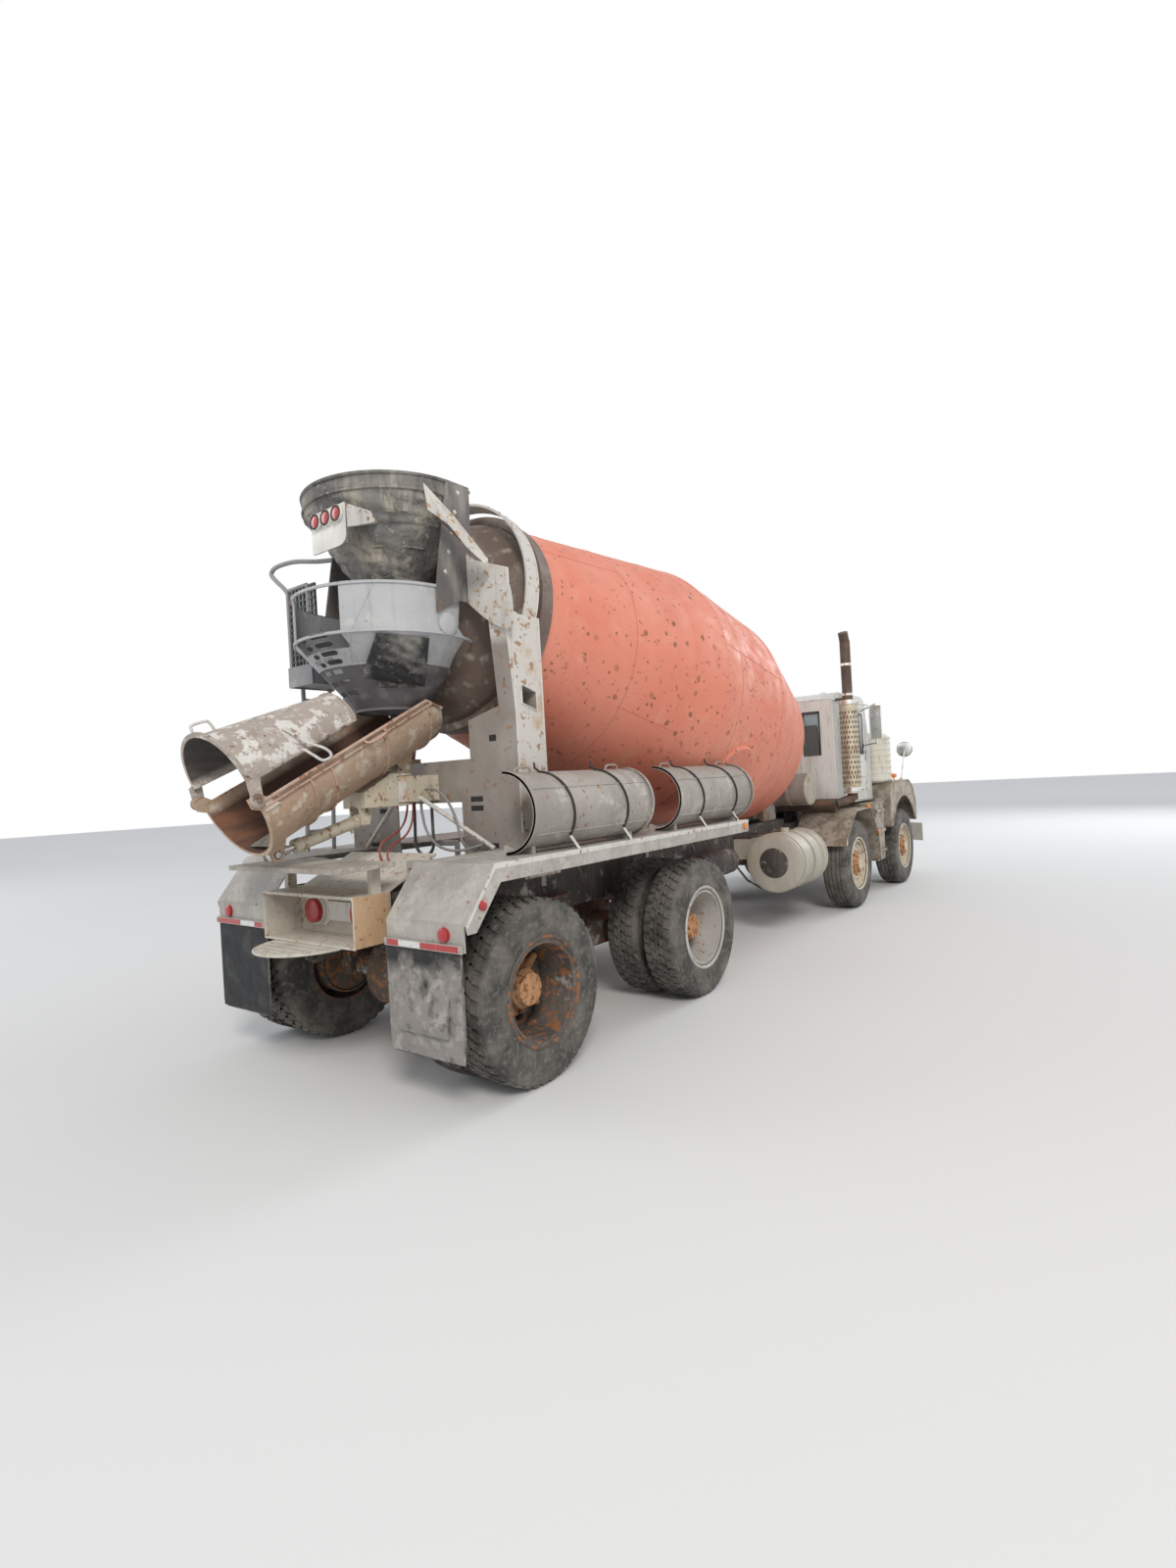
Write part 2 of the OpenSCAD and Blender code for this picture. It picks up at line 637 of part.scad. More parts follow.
// The flap lies along the funnel's right rear side, each row is [distance from its axis, height]
flap_turn = -118;
module rubber_flaps() {
    row() color("#3a3733") {
        both() cross_plate([
            [600, 340], [640, 300], [1140, 300], [1180, 340], [1180, 900], [600, 900]
        ], [-612, -600]);
        translate([collector_x, 0, 0]) rotate([0, 0, flap_turn])
            side_plate([[303.5, 2335], [530.7, 2600], [544, 2600], [316.8, 2335]], [-120, 120]);
    }
}

// Ladder, platform and handrail on the left, with the perforated guard beside the hopper.
module access_ladder() {
    row() color("#8f8d88") {
        box([-150, 200], [620, 900], [2480, 2600]);
        box([199, 227.5], [720, 845], [2500, 2560]);
        bar([-80, 880, 2590], [-80, 880, 3330], 17);
        bar([-84, 880, 3325], [184, 880, 3387], 15);
        bar([180, 880, 2590], [180, 880, 3390], 17);
        box([-150, -138], [560, 860], [2600, 3150]);
    }
}

// Rear deck with the lamp box and the round step below it.
deck_front_x = rail_rear_x - rest_gap;
module rear_deck() {
    row() color("#b9b2a6") {
        difference() {
            box([-700, deck_front_x], [-450, 450], [840, 1125]);
            box([-701, deck_front_x - 10], [-440, 440], [850, 1110]);
        }
        translate([0, 0, 828]) linear_extrude(12) difference() {
            translate([-690, 0]) circle(r = 300);
            translate([-690, -400]) square([800, 800]);
        }
        box([-690, deck_front_x], [-300, 300], [828, 840.5]);
        side_plate([
            [deck_front_x - 1, 1110], [deck_front_x - 1, 1125], [-60, 1300], [-60, 1285]
        ], [-425, 425]);
        box([-860, -470], [-540, 540], [1275, 1300]);
        both() box([-560, -500], [400, 440], [1120, 1276]);
    }
}

// Rear fenders: a flat top over both driven axles, bent down at the back.
fender_y = [600, 1220];
fender_bracket_x = [-300, 900, 2300];
spare_prop_x = [40, 1050, 1660, 2670];
module rear_fenders() {
    row() color("#c9c4ba") {
        both() {
            difference() {
                side_plate([
                    [-590, 1000], [-375, 1281], [2726, 1281], [2726, 1289], [-379, 1289], [-600, 1004]
                ], fender_y);
                box([leg_x[0] - 2, leg_x[1] + 92], [fender_y[0] - 1, leg_y[1] + 2], [1200, 1300]);
            }
            side_plate([
                [-590, 960], [-530, 960], [-335, 1190], [2726, 1190], [2726, 1282], [-375, 1282], [-600, 1000]
            ], [fender_y[1] - 8, fender_y[1]]);
            box([-600 + rest_gap, -592], [fender_y[0], 1200], [869, 1003]);
            for (x = fender_bracket_x) {
                box(shift(x, [0, 50]), [rail_y + rest_gap, fender_y[0] + 100], [1240, 1281.5]);
                box(shift(x, [0, 50]), [rail_y + rest_gap, rail_y + 12], [deck_z - 150, 1281]);
            }
        }
        for (x = spare_prop_x) difference() {
            side_plate([[x, 1288], [x + 30, 1288], [x + 30, 1380], [x, 1380]], shift(spare_y, [-110, 110]));
            translate([x - 1, spare_y, spare_z]) rotate([0, 90, 0]) cylinder(h = 32, r = spare_r + rest_gap, $fn = 72);
        }
    }
}

// Extension chutes kept on the right fender, half round with a ring at each end.
spare_y = -1010;
spare_z = 1535;
spare_r = 225;
module half_ring(r, t, x) {
    translate([x[0], spare_y, spare_z]) rotate([0, 90, 0]) difference() {
        cylinder(h = x[1] - x[0], r = r);
        translate([0, 0, -1]) cylinder(h = x[1] - x[0] + 2, r = r - t);
        translate([-r - 1, 0, -1]) cube([2 * r + 2, r + 1, x[1] - x[0] + 2]);
    }
}
module spare_chutes() {
    row() color("#98938a") for (x = [-60, 1560]) {
        half_ring(spare_r, chute_t, [x, x + 1250]);
        half_ring(spare_r + 14, 15, [x, x + 25]);
        half_ring(spare_r + 14, 15, [x + 1225, x + 1250]);
    }
}

// Lamps of the rear end: three on the hopper's panel, two in the lamp box, one on each fender.
module lamp(place, r, depth) {
    translate(place) rotate([0, -90, 0]) cylinder(h = depth, r = r);
}
module rear_lamps() {
    row() color("#a02a2a") {
        for (y = [-220, -115, -10]) lamp([-480 - rest_gap, y, 3340], 38, 20);
        for (y = [-230, 230]) lamp([deck_front_x - 10 - rest_gap, y, 985], 75, 60);
        both() lamp([-600 - rest_gap, 1060, 952], 38, 15);
    }
}

// Fenders of both front axles and the steps between them.
apron_y = [525, 531];
wheel_arch_r = 660;
module front_fender() {
    difference() {
        side_plate([
            [7330, 850], [7330, 1330], [7460, 1470], [8340, 1460], [8560, 1360], [8700, 1120], [8700, 850]
        ], [apron_y[0], 1170]);
        side_plate([
            [7338, 800], [7338, 1326], [7464, 1462], [8337, 1452], [8554, 1354], [8692, 1118], [8692, 800]
        ], [apron_y[0] - 10, 1162]);
        translate([axle_1_x, 1100, wheel_z + 60]) rotate([-90, 0, 0]) cylinder(h = 100, r = wheel_arch_r);
    }
    side_plate([
        [7334, 1000], [7334, 1328], [7462, 1466], [8339, 1456], [8557, 1357], [8696, 1119], [8696, 1000]
    ], apron_y);
    for (x = [7700, 8350]) box([x, x + 60], [rail_y + rest_gap, apron_y[0] + 1], [950, 1020]);
    for (x = [7700, 8350]) box([x, x + 60], [apron_y[0], apron_y[1]], [950, 1001]);
}
module cab_fenders() {
    row() color("#b3ad9f") both() {
        side_plate([
            [5354, 786], [5369, 870], [5748, 1166], [6338, 1175], [6629, 800], [6673, 482],
            [6665, 482], [6621, 797], [6334, 1167], [5750, 1158], [5377, 867], [5362, 786]
        ], [560, 1200]);
        box([5900, 5960], [rail_y + rest_gap, 700], [1100, 1164]);
        box([5900, 5960], [rail_y + rest_gap, rail_y + 12], [920, 1164]);
        box([6690, 7060], [700, 1150], [460, 1200]);
        box([6800, 6860], [rail_y + rest_gap, 701], [800, 900]);
        front_fender();
    }
}

// Cab: walls and roof with the openings of doors and windows cut.
door_x = [6130, 7050];
door_z = [1270, 2440];
windscreen_z = [1950, 2440];
module cab_solid(inset) {
    side_plate([
        [cab_rear_x + inset, cab_floor_z + inset], [cab_front_x - inset, cab_floor_z + inset],
        [cab_front_x - inset, 1900], [cab_front_x - 170 - inset, cab_top_z - inset],
        [cab_front_x - 300, cab_top_z + 70 - inset], [cab_rear_x + 250, cab_top_z + 80 - inset],
        [cab_rear_x + inset, cab_top_z - inset]
    ], [-cab_y + inset, cab_y - inset]);
}
module door_outline(grow) {
    side_plate([
        [door_x[0] - grow, door_z[0] - grow], [door_x[1] + grow, door_z[0] - grow],
        [door_x[1] + grow, 1930], [door_x[1] - 90 + grow, door_z[1] + grow], [door_x[0] - grow, door_z[1] + grow]
    ], [cab_y - cab_wall, cab_y]);
}
module door_window() {
    side_plate([
        [door_x[0] + 90, 1850], [door_x[1] - 90, 1850], [door_x[1] - 100, 1930],
        [door_x[1] - 160, door_z[1] - 70], [door_x[0] + 90, door_z[1] - 70]
    ], [cab_y - cab_wall - 1, cab_y + 1]);
}
module cab_shell() {
    row() color("#dedad2") {
        difference() {
            cab_solid(0);
            cab_solid(cab_wall);
            both() door_outline(5);
            box([cab_front_x - 400, cab_front_x + 50], [-780, 780], windscreen_z);
            box([cab_rear_x - 10, cab_rear_x + 100], [-350, 350], [1950, 2400]);
            both() box([cab_rear_x - 10, cab_rear_x + 100], [600, 800], [1850, 2380]);
        }
        both() cab_hinges();
        both() box([cab_rear_x + 300, cab_rear_x + 400], [rail_y - 80, rail_y], [rail_top + rest_gap, cab_floor_z + 1]);
        both() box([cab_front_x - 300, cab_front_x - 200], [rail_y - 80, rail_y], [rail_top + rest_gap, cab_floor_z + 1]);
    }
}
module cab_glass() {
    row() color("#5b6a70") {
        side_plate([
            [cab_front_x - 36, windscreen_z[0] + rest_gap], [cab_front_x - 30, windscreen_z[0] + rest_gap],
            [cab_front_x - 163, windscreen_z[1] - rest_gap], [cab_front_x - 169, windscreen_z[1] - rest_gap]
        ], [-780 + rest_gap, 780 - rest_gap]);
        box([cab_rear_x + 18, cab_rear_x + 24], [-349.7, 349.7], [1950.3, 2399.7]);
        both() box([cab_rear_x + 18, cab_rear_x + 24], [600.3, 799.7], [1850.3, 2379.7]);
    }
}
module seat(y) {
    box([6050, 6520], shift(y, [-230, 230]), [cab_floor_z + cab_wall + rest_gap, 1640]);
    side_plate([[6050, 1639], [6180, 1639], [6080, 2230], [5960, 2230]], shift(y, [-230, 230]));
}
dash_half = cab_y - cab_wall - 35;
module cab_interior() {
    row() color("#4a4640") {
        seat(450);
        seat(-450);
        box([6980, cab_front_x - cab_wall - rest_gap], [-dash_half, dash_half], [1650, 1890]);
        bar([6990, 450, 1780], [6830, 450, 1850], 25);
        translate([6800, 450, 1860]) rotate([0, -65, 0]) rotate_extrude() translate([220, 0]) circle(r = 16);
        for (a = [0:120:240]) translate([6800, 450, 1860]) rotate([0, -65, 0]) rotate([0, 0, a])
            rotate([0, 90, 0]) cylinder(h = 220, r = 12);
        translate([6800, 450, 1860]) rotate([0, -65, 0]) translate([0, 0, -40]) cylinder(h = 60, r = 40);
    }
}
// A door turns on two hinges whose pins stand on the cab
door_hinge = [7052, cab_y + 16];
door_pin_r = 8;
hinge_z = [1400, 1800];
module knuckle_of_hinge(z) {
    translate([door_hinge[0], door_hinge[1], z[0]]) cylinder(h = z[1] - z[0], r = 14);
}
module cab_hinges() {
    for (z = hinge_z) {
        for (span = [[z - 32, z - 2], [z + 62, z + 92]]) {
            knuckle_of_hinge(span);
            box([door_hinge[0] + 4, door_hinge[0] + 60], [cab_y - 1, cab_y + 6], span);
        }
        translate([door_hinge[0], door_hinge[1], z - 31]) cylinder(h = 122, r = door_pin_r);
    }
}
module door() {
    difference() {
        union() {
            difference() {
                door_outline(0);
                door_window();
            }
            for (z = hinge_z) {
                knuckle_of_hinge([z, z + 60]);
                box([door_hinge[0] - 70, door_hinge[0]], [cab_y - 1, cab_y + 6], [z, z + 60]);
            }
        }
        for (z = hinge_z) translate([door_hinge[0], door_hinge[1], z - 1])
            cylinder(h = 62, r = door_pin_r + spindle_gap);
    }
    box([door_x[0] + 60, door_x[0] + 200], [cab_y - 1, cab_y + 22], [1700, 1730]);
}
module at_side(side) {
    row() mirror([0, mirrored(side), 0]) children();
}
module door_right() {
    color("#dedad2") at_side("right") door();
}
module door_left() {
    color("#dedad2") at_side("left") door();
}
// Each row is [x, z] of an arm's foot on the door and the arm's height at the mirror
mirror_arms = [[6860, 2405, 2475], [6990, 1960, 1975]];
module mirror_set() {
    mirror_x = 6740;
    box(shift(mirror_x, [0, 40]), [1130, 1270], [2030, 2450]);
    for (arm = mirror_arms) {
        box(shift(arm[0], [-20, 20]), shift(cab_y, [rest_gap, 16]), shift(arm[1], [-20, 20]));
        bar([arm[0], cab_y + 12, arm[1]], [mirror_x + 20, 1200, arm[2]], 12);
    }
    bar([mirror_x + 20, 1200, 1970], [mirror_x + 20, 1200, 2480], 12);
}
module mirror_right() {
    color("#b8bab6") at_side("right") mirror_set();
}
module mirror_left() {
    color("#b8bab6") at_side("left") mirror_set();
}

// Hood over the engine, tilting forward about its front lower edge, and its grille.
hood_x = [7300, 8880];
hood_y = 520;
hood_low_z = 1045;
grille_z = [1160, 1640];
module hood_outer(inset, low) {
    side_plate([
        [hood_x[0] - 1 + inset, low], [hood_x[1] - inset, low], [hood_x[1] - inset, 1720 - inset],
        [hood_x[1] - 120, 1800 - inset], [hood_x[0] - 1 + inset, 1925 - inset]
    ], [-hood_y + inset, hood_y - inset]);
}
module hood() {
    row() color("#dcd7cc") {
        difference() {
            hood_outer(0, hood_low_z);
            hood_outer(10, hood_low_z - 10);
            box([hood_x[0] - 50, hood_x[0] + 20], [-600, 600], [800, 1905]);
            box([hood_x[1] - 30, hood_x[1] + 10], [-400, 400], grille_z);
        }
        both() difference() {
            union() {
                side_plate([
                    [hood_x[1] - 8, hood_low_z + 3], [hood_hinge[0], hood_hinge[1] - 16],
                    [hood_hinge[0] + 14, hood_hinge[1] + 8], [hood_x[1] - 8, hood_low_z + 90]
                ], [345, 365]);
                translate([hood_hinge[0], 345, hood_hinge[1]]) rotate([-90, 0, 0]) cylinder(h = 20, r = 18);
            }
            translate([hood_hinge[0], 340, hood_hinge[1]]) rotate([-90, 0, 0])
                cylinder(h = 40, r = hood_pin_r + spindle_gap);
        }
    }
}
module grille() {
    row() color("#8c8d8c")
        for (i = [0:11]) box([hood_x[1] - 12, hood_x[1] - 4], [-400 + rest_gap, 400 - rest_gap],
            shift(grille_z[0] + 12 + 40 * i, [0, 14]));
}
// Headlamps on the fronts of the fenders, and mirrors on their tops
module fender_lamps() {
    row() color("#8c8d8c") both() {
        translate([8700 + rest_gap, 850, 1010]) rotate([0, 90, 0]) cylinder(h = 60, r = 90);
        box([8230, 8270], [1080, 1120], [1461.5, 1480]);
        bar([8250, 1100, 1476], [8610, 1080, 1890], 10);
        translate([8600, 1080, 1900]) rotate([0, 90, 0]) cylinder(h = 40, r = 110);
    }
}

// Air cleaner on the fender, and the exhaust with its stack and its shield.
cleaner = [7520, 10 - cab_y];
module air_cleaner() {
    row() color("#d8d2bd") translate([cleaner[0], cleaner[1], 0]) {
        translate([0, 0, 1470 + rest_gap]) cylinder(h = 580, r = 200);
        translate([0, 0, 2050]) cylinder(h = 50, r1 = 200, r2 = 120);
    }
}
stack = [5950, -cab_y - 150];
pipe_z = 1250;
stack_r = 60;
shield_z = [1370, 2490];
shield_r = 105;
module exhaust() {
    row() color("#4b423c") {
        translate([stack[0], stack[1], 1290]) cylinder(h = 1915, r = stack_r);
        translate([stack[0], stack[1], 3185]) rotate([0, -25, 0]) cylinder(h = 125, r = stack_r - 3);
        bar([5700, -250, pipe_z], [5700, stack[1] + 120, pipe_z], 70);
        bar([5700, stack[1] + 135, pipe_z], [stack[0] - 10, stack[1] + 5, 1310], stack_r - 7);
        box(shift(stack[0], [-30, 30]), [stack[1] + stack_r - 10, -cab_y - rest_gap], [2500, 2525]);
    }
}
module heat_shield() {
    row() color("#c9bf9f") translate([stack[0], stack[1], 0]) difference() {
        translate([0, 0, shield_z[0]]) cylinder(h = shield_z[1] - shield_z[0], r = shield_r);
        translate([0, 0, shield_z[0] - 1]) cylinder(h = 1500, r = stack_r + rest_gap);
        for (z = [shield_z[0] + 15, shield_z[0] + 567])
            translate([0, 0, z]) cylinder(h = 537, r = shield_r - 5);
    }
}

// The swing post turns in the pedestal's beam and carries the main chute and its cylinder.
chute_pivot = [40, 1850];
cylinder_base = [-290, 1530];
rod_eye = [-880, 1375];
swing_gap = 5;
pin_r = 20;
// The eye's pin stands 6 mm clear of the chute's ears, so that the rod may drift
eye_pin_r = 18;
module pin_at(place, r, half) {
    translate([place[0], -half, place[1]]) rotate([-90, 0, 0]) cylinder(h = 2 * half, r = r);
}
swing_reach = 60;
module swing_post() {
    row() color("#b5aa92") {
        translate([post_x, 0, beam_z[0] - 25]) cylinder(h = beam_z[1] - beam_z[0] + 50, r = post_r);
        for (z = [beam_z[0] - 20, beam_z[1] + 5]) {
            translate([post_x, 0, z]) cylinder(h = 15, r = beam_half - 10);
            box([-130, post_x], [-100, 100], [z, z + 15]);
        }
        difference() {
            // The arm keeps under the chute, which comes down to the rear
            side_plate([
                [-55, beam_z[0] - 20], [-330, beam_z[0] - 20], [-330, 1700], [-160, 1788],
                [-130, beam_z[1] + 20], [-55, beam_z[1] + 20]
            ], [-beam_half + 5, beam_half - 5]);
            translate([post_x, 0, beam_z[0] - 21]) cylinder(h = 400, r = beam_half + swing_gap);
            // The beam's sides come this near at both ends of the swing
            for (a = [-swing_reach, swing_reach]) translate([post_x, 0, 0]) rotate([0, 0, a])
                box([0, 400], [-beam_half - swing_gap, beam_half + swing_gap], [beam_z[0] - 5, beam_z[1] + 5]);
        }
        side_plate([
            [chute_pivot[0] - 70, beam_z[1] + 19], [chute_pivot[0] + 50, beam_z[1] + 19],
            [chute_pivot[0] + 25, chute_pivot[1] + 25], [chute_pivot[0] - 25, chute_pivot[1] + 25]
        ], [-44, 44]);
        pin_at(chute_pivot, pin_r, 75);
        for (y = [-54, 39]) side_plate([
            [cylinder_base[0] - 40, beam_z[0] - 19], [cylinder_base[0] + 60, beam_z[0] - 19],
            [cylinder_base[0] + 30, cylinder_base[1] - 30], [cylinder_base[0] - 30, cylinder_base[1] - 30]
        ], [y, y + 15]);
        pin_at(cylinder_base, pin_r, 55);
    }
}

// Chutes are drawn along their own slope, from the low end up.
low_end_bottom = [-980, 1385];
chute_out = chute_r + chute_t;
low_end = low_end_bottom + chute_out * [-sin(chute_slope), cos(chute_slope)];
chute_length = 1420;
end_gap = 10;
hinge_up = 60;
fold_hinge = low_end + hinge_up * [-sin(chute_slope), cos(chute_slope)];
fold_slope = chute_slope - 1.5;
fold_length = 850;
fold_up = 105;
fold_edge = 85;
fold_end_r = 175;
module along(place, slope) {
    row() translate([place[0], 0, place[1]]) rotate([0, -slope, 0]) children();
}
module trough(length, x, wall_h) {
    rotate([90, 0, 90]) translate([0, 0, x]) linear_extrude(length) difference() {
        union() {
            circle(r = chute_out, $fn = 72);
            translate([-chute_out, 0]) square([2 * chute_out, wall_h]);
        }
        circle(r = chute_r, $fn = 72);
        translate([-chute_r, 0]) square([2 * chute_r, wall_h + 1]);
        translate([-chute_out - 1, wall_h]) square([2 * chute_out + 2, chute_out]);
    }
}
module trough_ring(x, wall_h) {
    rotate([90, 0, 90]) translate([0, 0, x]) linear_extrude(12) difference() {
        circle(r = chute_out + 14, $fn = 72);
        circle(r = chute_out - 1, $fn = 72);
        translate([-400, wall_h - 30]) square([800, 400]);
    }
}
chute_corner = 100;
module main_chute() {
    color("#9c7a5c") {
        along(low_end, chute_slope) difference() {
            union() {
                trough(chute_length - end_gap, end_gap, chute_wall_h);
                trough_ring(end_gap, chute_wall_h);
                trough_ring(330, chute_wall_h);
                both() {
                    box([end_gap, chute_length], [chute_out - 1, chute_out + 18], [chute_wall_h - 8, chute_wall_h]);
                    difference() {
                        side_plate([
                            [-35, hinge_up + 25], [35, hinge_up + 25], [120, -20], [30, -20], [-35, hinge_up - 30]
                        ], [chute_out - 0.5, chute_out + 12]);
                        box([-50, end_gap], [0, chute_out], [0, 200]);
                    }
                    translate([0, chute_out, hinge_up]) rotate([-90, 0, 0]) cylinder(h = 40, r = 14);
                }
            }
            // The upper corners are cut off, to pass under the drum when the chute swings
            side_plate([
                [chute_length - chute_corner, chute_wall_h + 1], [chute_length + 1, chute_wall_h + 1],
                [chute_length + 1, chute_wall_h - chute_corner]
            ], [-400, 400]);
        }
        row() both() difference() {
            union() {
                translate([chute_pivot[0], 50, chute_pivot[1]]) rotate([-90, 0, 0]) cylinder(h = 15, r = 35);
                side_plate([
                    [chute_pivot[0] - 90, chute_pivot[1] + 45], [chute_pivot[0] - 30, chute_pivot[1] - 18],
                    [chute_pivot[0] + 34, chute_pivot[1] - 5], [chute_pivot[0] + 70, chute_pivot[1] + 110],
                    [chute_pivot[0] - 90, chute_pivot[1] + 60]
                ], [50, 65]);
            }
            pin_at(chute_pivot, pin_r + spindle_gap, 100);
            chute_bore();
        }
        row() both() difference() {
            side_plate([
                [rod_eye[0] - 60, rod_eye[1] + 40], [rod_eye[0] - 30, rod_eye[1] - 36],
                [rod_eye[0] + 30, rod_eye[1] - 36], [rod_eye[0] + 60, rod_eye[1] + 110],
                [rod_eye[0] - 60, rod_eye[1] + 60]
            ], [32, 44]);
            pin_at(rod_eye, eye_pin_r + 6, 100);
            chute_bore();
        }
    }
}
module chute_bore() {
    translate([low_end[0], 0, low_end[1]]) rotate([0, 90 - chute_slope, 0]) translate([0, 0, -100])
        cylinder(h = chute_length + 200, r = chute_out - 1, $fn = 72);
}
// It is half a cone turned over the main chute, with straight edges below it
fold_span = fold_length - end_gap;
module fold_chute() {
    color("#c2b7a4") along(fold_hinge, fold_slope) {
        translate([end_gap, 0, fold_up]) rotate([0, 90, 0]) rotate([0, 0, 90]) rotate_extrude(angle = 180, $fn = 72) {
            polygon([[chute_out, 0], [fold_end_r, fold_span], [fold_end_r - chute_t, fold_span], [chute_r, 0]]);
            translate([chute_out - 2, 0]) square([16, 12]);
            translate([fold_end_r - 2, fold_span - 12]) square([12, 12]);
        }
        both() {
            translate([0, 0, fold_edge]) linear_extrude(fold_up - fold_edge) polygon([
                [end_gap, chute_out], [fold_length, fold_end_r],
                [fold_length, fold_end_r - chute_t], [end_gap, chute_r]
            ]);
            difference() {
                union() {
                    side_plate([[-30, -25], [30, -25], [70, 100], [-5, 100]], [chute_out + 20, chute_out + 32]);
                    box([end_gap, 70], [chute_out - 5, chute_out + 32], [fold_edge, fold_up]);
                }
                translate([0, chute_out, 0]) rotate([-90, 0, 0]) cylinder(h = 60, r = 14 + spindle_gap);
            }
        }
    }
}

// Cylinder between the post and the main chute: the barrel holds the post's pin, the rod's
// eye stands round the chute's pin with room to drift.
stroke = rod_eye - cylinder_base;
cylinder_slope = atan2(-stroke[1], -stroke[0]);
barrel_r = 38;
rod_r = 20;
barrel_end = norm(stroke) - 130;
module cylinder_barrel() {
    color("#b0a894") along(cylinder_base, cylinder_slope) difference() {
        union() {
            rotate([0, -90, 0]) translate([0, 0, 30]) cylinder(h = barrel_end - 30, r = barrel_r);
            translate([0, -32, 0]) rotate([-90, 0, 0]) cylinder(h = 64, r = 42);
        }
        translate([0, -40, 0]) rotate([-90, 0, 0]) cylinder(h = 80, r = pin_r + spindle_gap);
        rotate([0, -90, 0]) translate([0, 0, 60]) cylinder(h = barrel_end, r = rod_r + spindle_gap);
    }
}
module cylinder_rod() {
    color("#a9a7a2") along(cylinder_base, cylinder_slope) {
        rotate([0, -90, 0]) translate([0, 0, 65]) cylinder(h = norm(stroke) - 90, r = rod_r);
        translate([-norm(stroke), -26, 0]) rotate([-90, 0, 0]) cylinder(h = 52, r = 36);
        translate([-norm(stroke), -50, 0]) rotate([-90, 0, 0]) cylinder(h = 100, r = eye_pin_r);
    }
}

// Hoses between the beam, the portal plate and the deck. A hose is a tube along its points.
hose_sides = 8;
grey_hose_r = 9;
red_hose_r = 7;
dark_hose_r = 11;
beam_under_z = beam_z[0] - rest_gap;
grey_upper = [
    [150, -beam_half - rest_gap, 1700], [150, -160, 1700], [150, -208, 1693], [149, -256, 1672], [148, -299, 1641],
    [146, -335, 1604], [143, -366, 1563], [140, -392, 1519], [136, -413, 1474], [133, -430, 1427],
    [135, -443, 1380], [147, -452, 1337], [178, -458, 1308], [225, -460, 1300], [leg_x[0] - rest_gap, -460, 1300]
];
grey_lower = [
    [130, -90, beam_under_z], [130, -90, 1570], [128, -102, 1514], [124, -119, 1462], [120, -147, 1415],
    [115, -185, 1375], [110, -230, 1344], [106, -279, 1321], [105, -332, 1307], [107, -387, 1299],
    [115, -441, 1298], [133, -492, 1304], [166, -534, 1317], [215, -556, 1326], [leg_x[0] - rest_gap, -556, 1326]
];
red_left = [
    [120, 40, beam_under_z], [120, 40, 1586], [109, 37, 1546], [94, 34, 1510], [72, 29, 1478],
    [44, 23, 1452], [11, 15, 1432], [-24, 7, 1417], [-61, -1, 1405], [-97, -9, 1393],
    [-132, -18, 1379], [-164, -27, 1358], [-184, -35, 1326], [-184, -39, 1287], [-167, -40, 1254]
];
red_right = [
    [120, -20, beam_under_z], [120, -20, 1584], [111, -24, 1541], [98, -30, 1502], [78, -38, 1467],
    [51, -48, 1437], [19, -60, 1413], [-16, -72, 1396], [-54, -84, 1384], [-92, -97, 1373],
    [-130, -109, 1361], [-166, -121, 1345], [-196, -131, 1319], [-204, -138, 1281], [-187, -140, 1245]
];
dark_loop = [
    [230, 100, beam_under_z], [230, 100, 1560], [228, 100, 1480], [226, 100, 1410], [225, 100, 1350],
    [223, 87, 1300], [221, 50, 1263], [218, 0, 1250], [215, -50, 1263], [213, -87, 1300],
    [211, -100, 1350], [210, -100, 1410], [210, -100, 1480], [210, -100, 1560], [210, -100, beam_under_z]
];
function unit(v) = v / norm(v);
module hose(points, r) {
    last = len(points) - 1;
    rings = [for (i = [0:last]) let(
        ahead = unit(points[min(last, i + 1)] - points[max(0, i - 1)]),
        side = unit(cross(ahead, [1, 0.1, 0.05])),
        up = cross(ahead, side)
    ) for (k = [0:hose_sides - 1])
        points[i] + r * (cos(k * 360 / hose_sides) * side + sin(k * 360 / hose_sides) * up)];
    polyhedron(rings, concat(
        [[for (k = [0:hose_sides - 1]) k]],
        [for (i = [0:last - 1]) for (k = [0:hose_sides - 1]) each [
            [i * hose_sides + k, (i + 1) * hose_sides + k, (i + 1) * hose_sides + (k + 1) % hose_sides],
            [i * hose_sides + k, (i + 1) * hose_sides + (k + 1) % hose_sides, i * hose_sides + (k + 1) % hose_sides]
        ]],
        [[for (k = [hose_sides - 1:-1:0]) last * hose_sides + k]]
    ));
}
module hoses() {
    row() {
        color("#8d8a86") hose(grey_upper, grey_hose_r);
        color("#8d8a86") hose(grey_lower, grey_hose_r);
        color("#a5443a") hose(red_left, red_hose_r);
        color("#a5443a") hose(red_right, red_hose_r);
        color("#3b3733") hose(dark_loop, dark_hose_r);
    }
}

frame();
front_bumper();
powertrain();
axles();
springs();
tanks();
front_pedestal();
drum_gearbox();
rear_pedestal();
hopper();
collector();
rubber_flaps();
access_ladder();
rear_deck();
rear_fenders();
spare_chutes();
rear_lamps();
cab_fenders();
fender_lamps();
cab_shell();
cab_glass();
cab_interior();
air_cleaner();
exhaust();
heat_shield();
door_right();
door_left();
mirror_right();
mirror_left();
hood();
grille();
drum_shell();
roller("right");  // roller_right
roller("left");  // roller_left
swing_post();
main_chute();
fold_chute();
cylinder_barrel();
cylinder_rod();
at_wheel(axle_1_x, "right") knuckle();  // knuckle_1_right
at_wheel(axle_1_x, "left") knuckle();  // knuckle_1_left
at_wheel(axle_2_x, "right") knuckle();  // knuckle_2_right
at_wheel(axle_2_x, "left") knuckle();  // knuckle_2_left
front_tyre_at(axle_1_x, "right");  // tyre_1_right
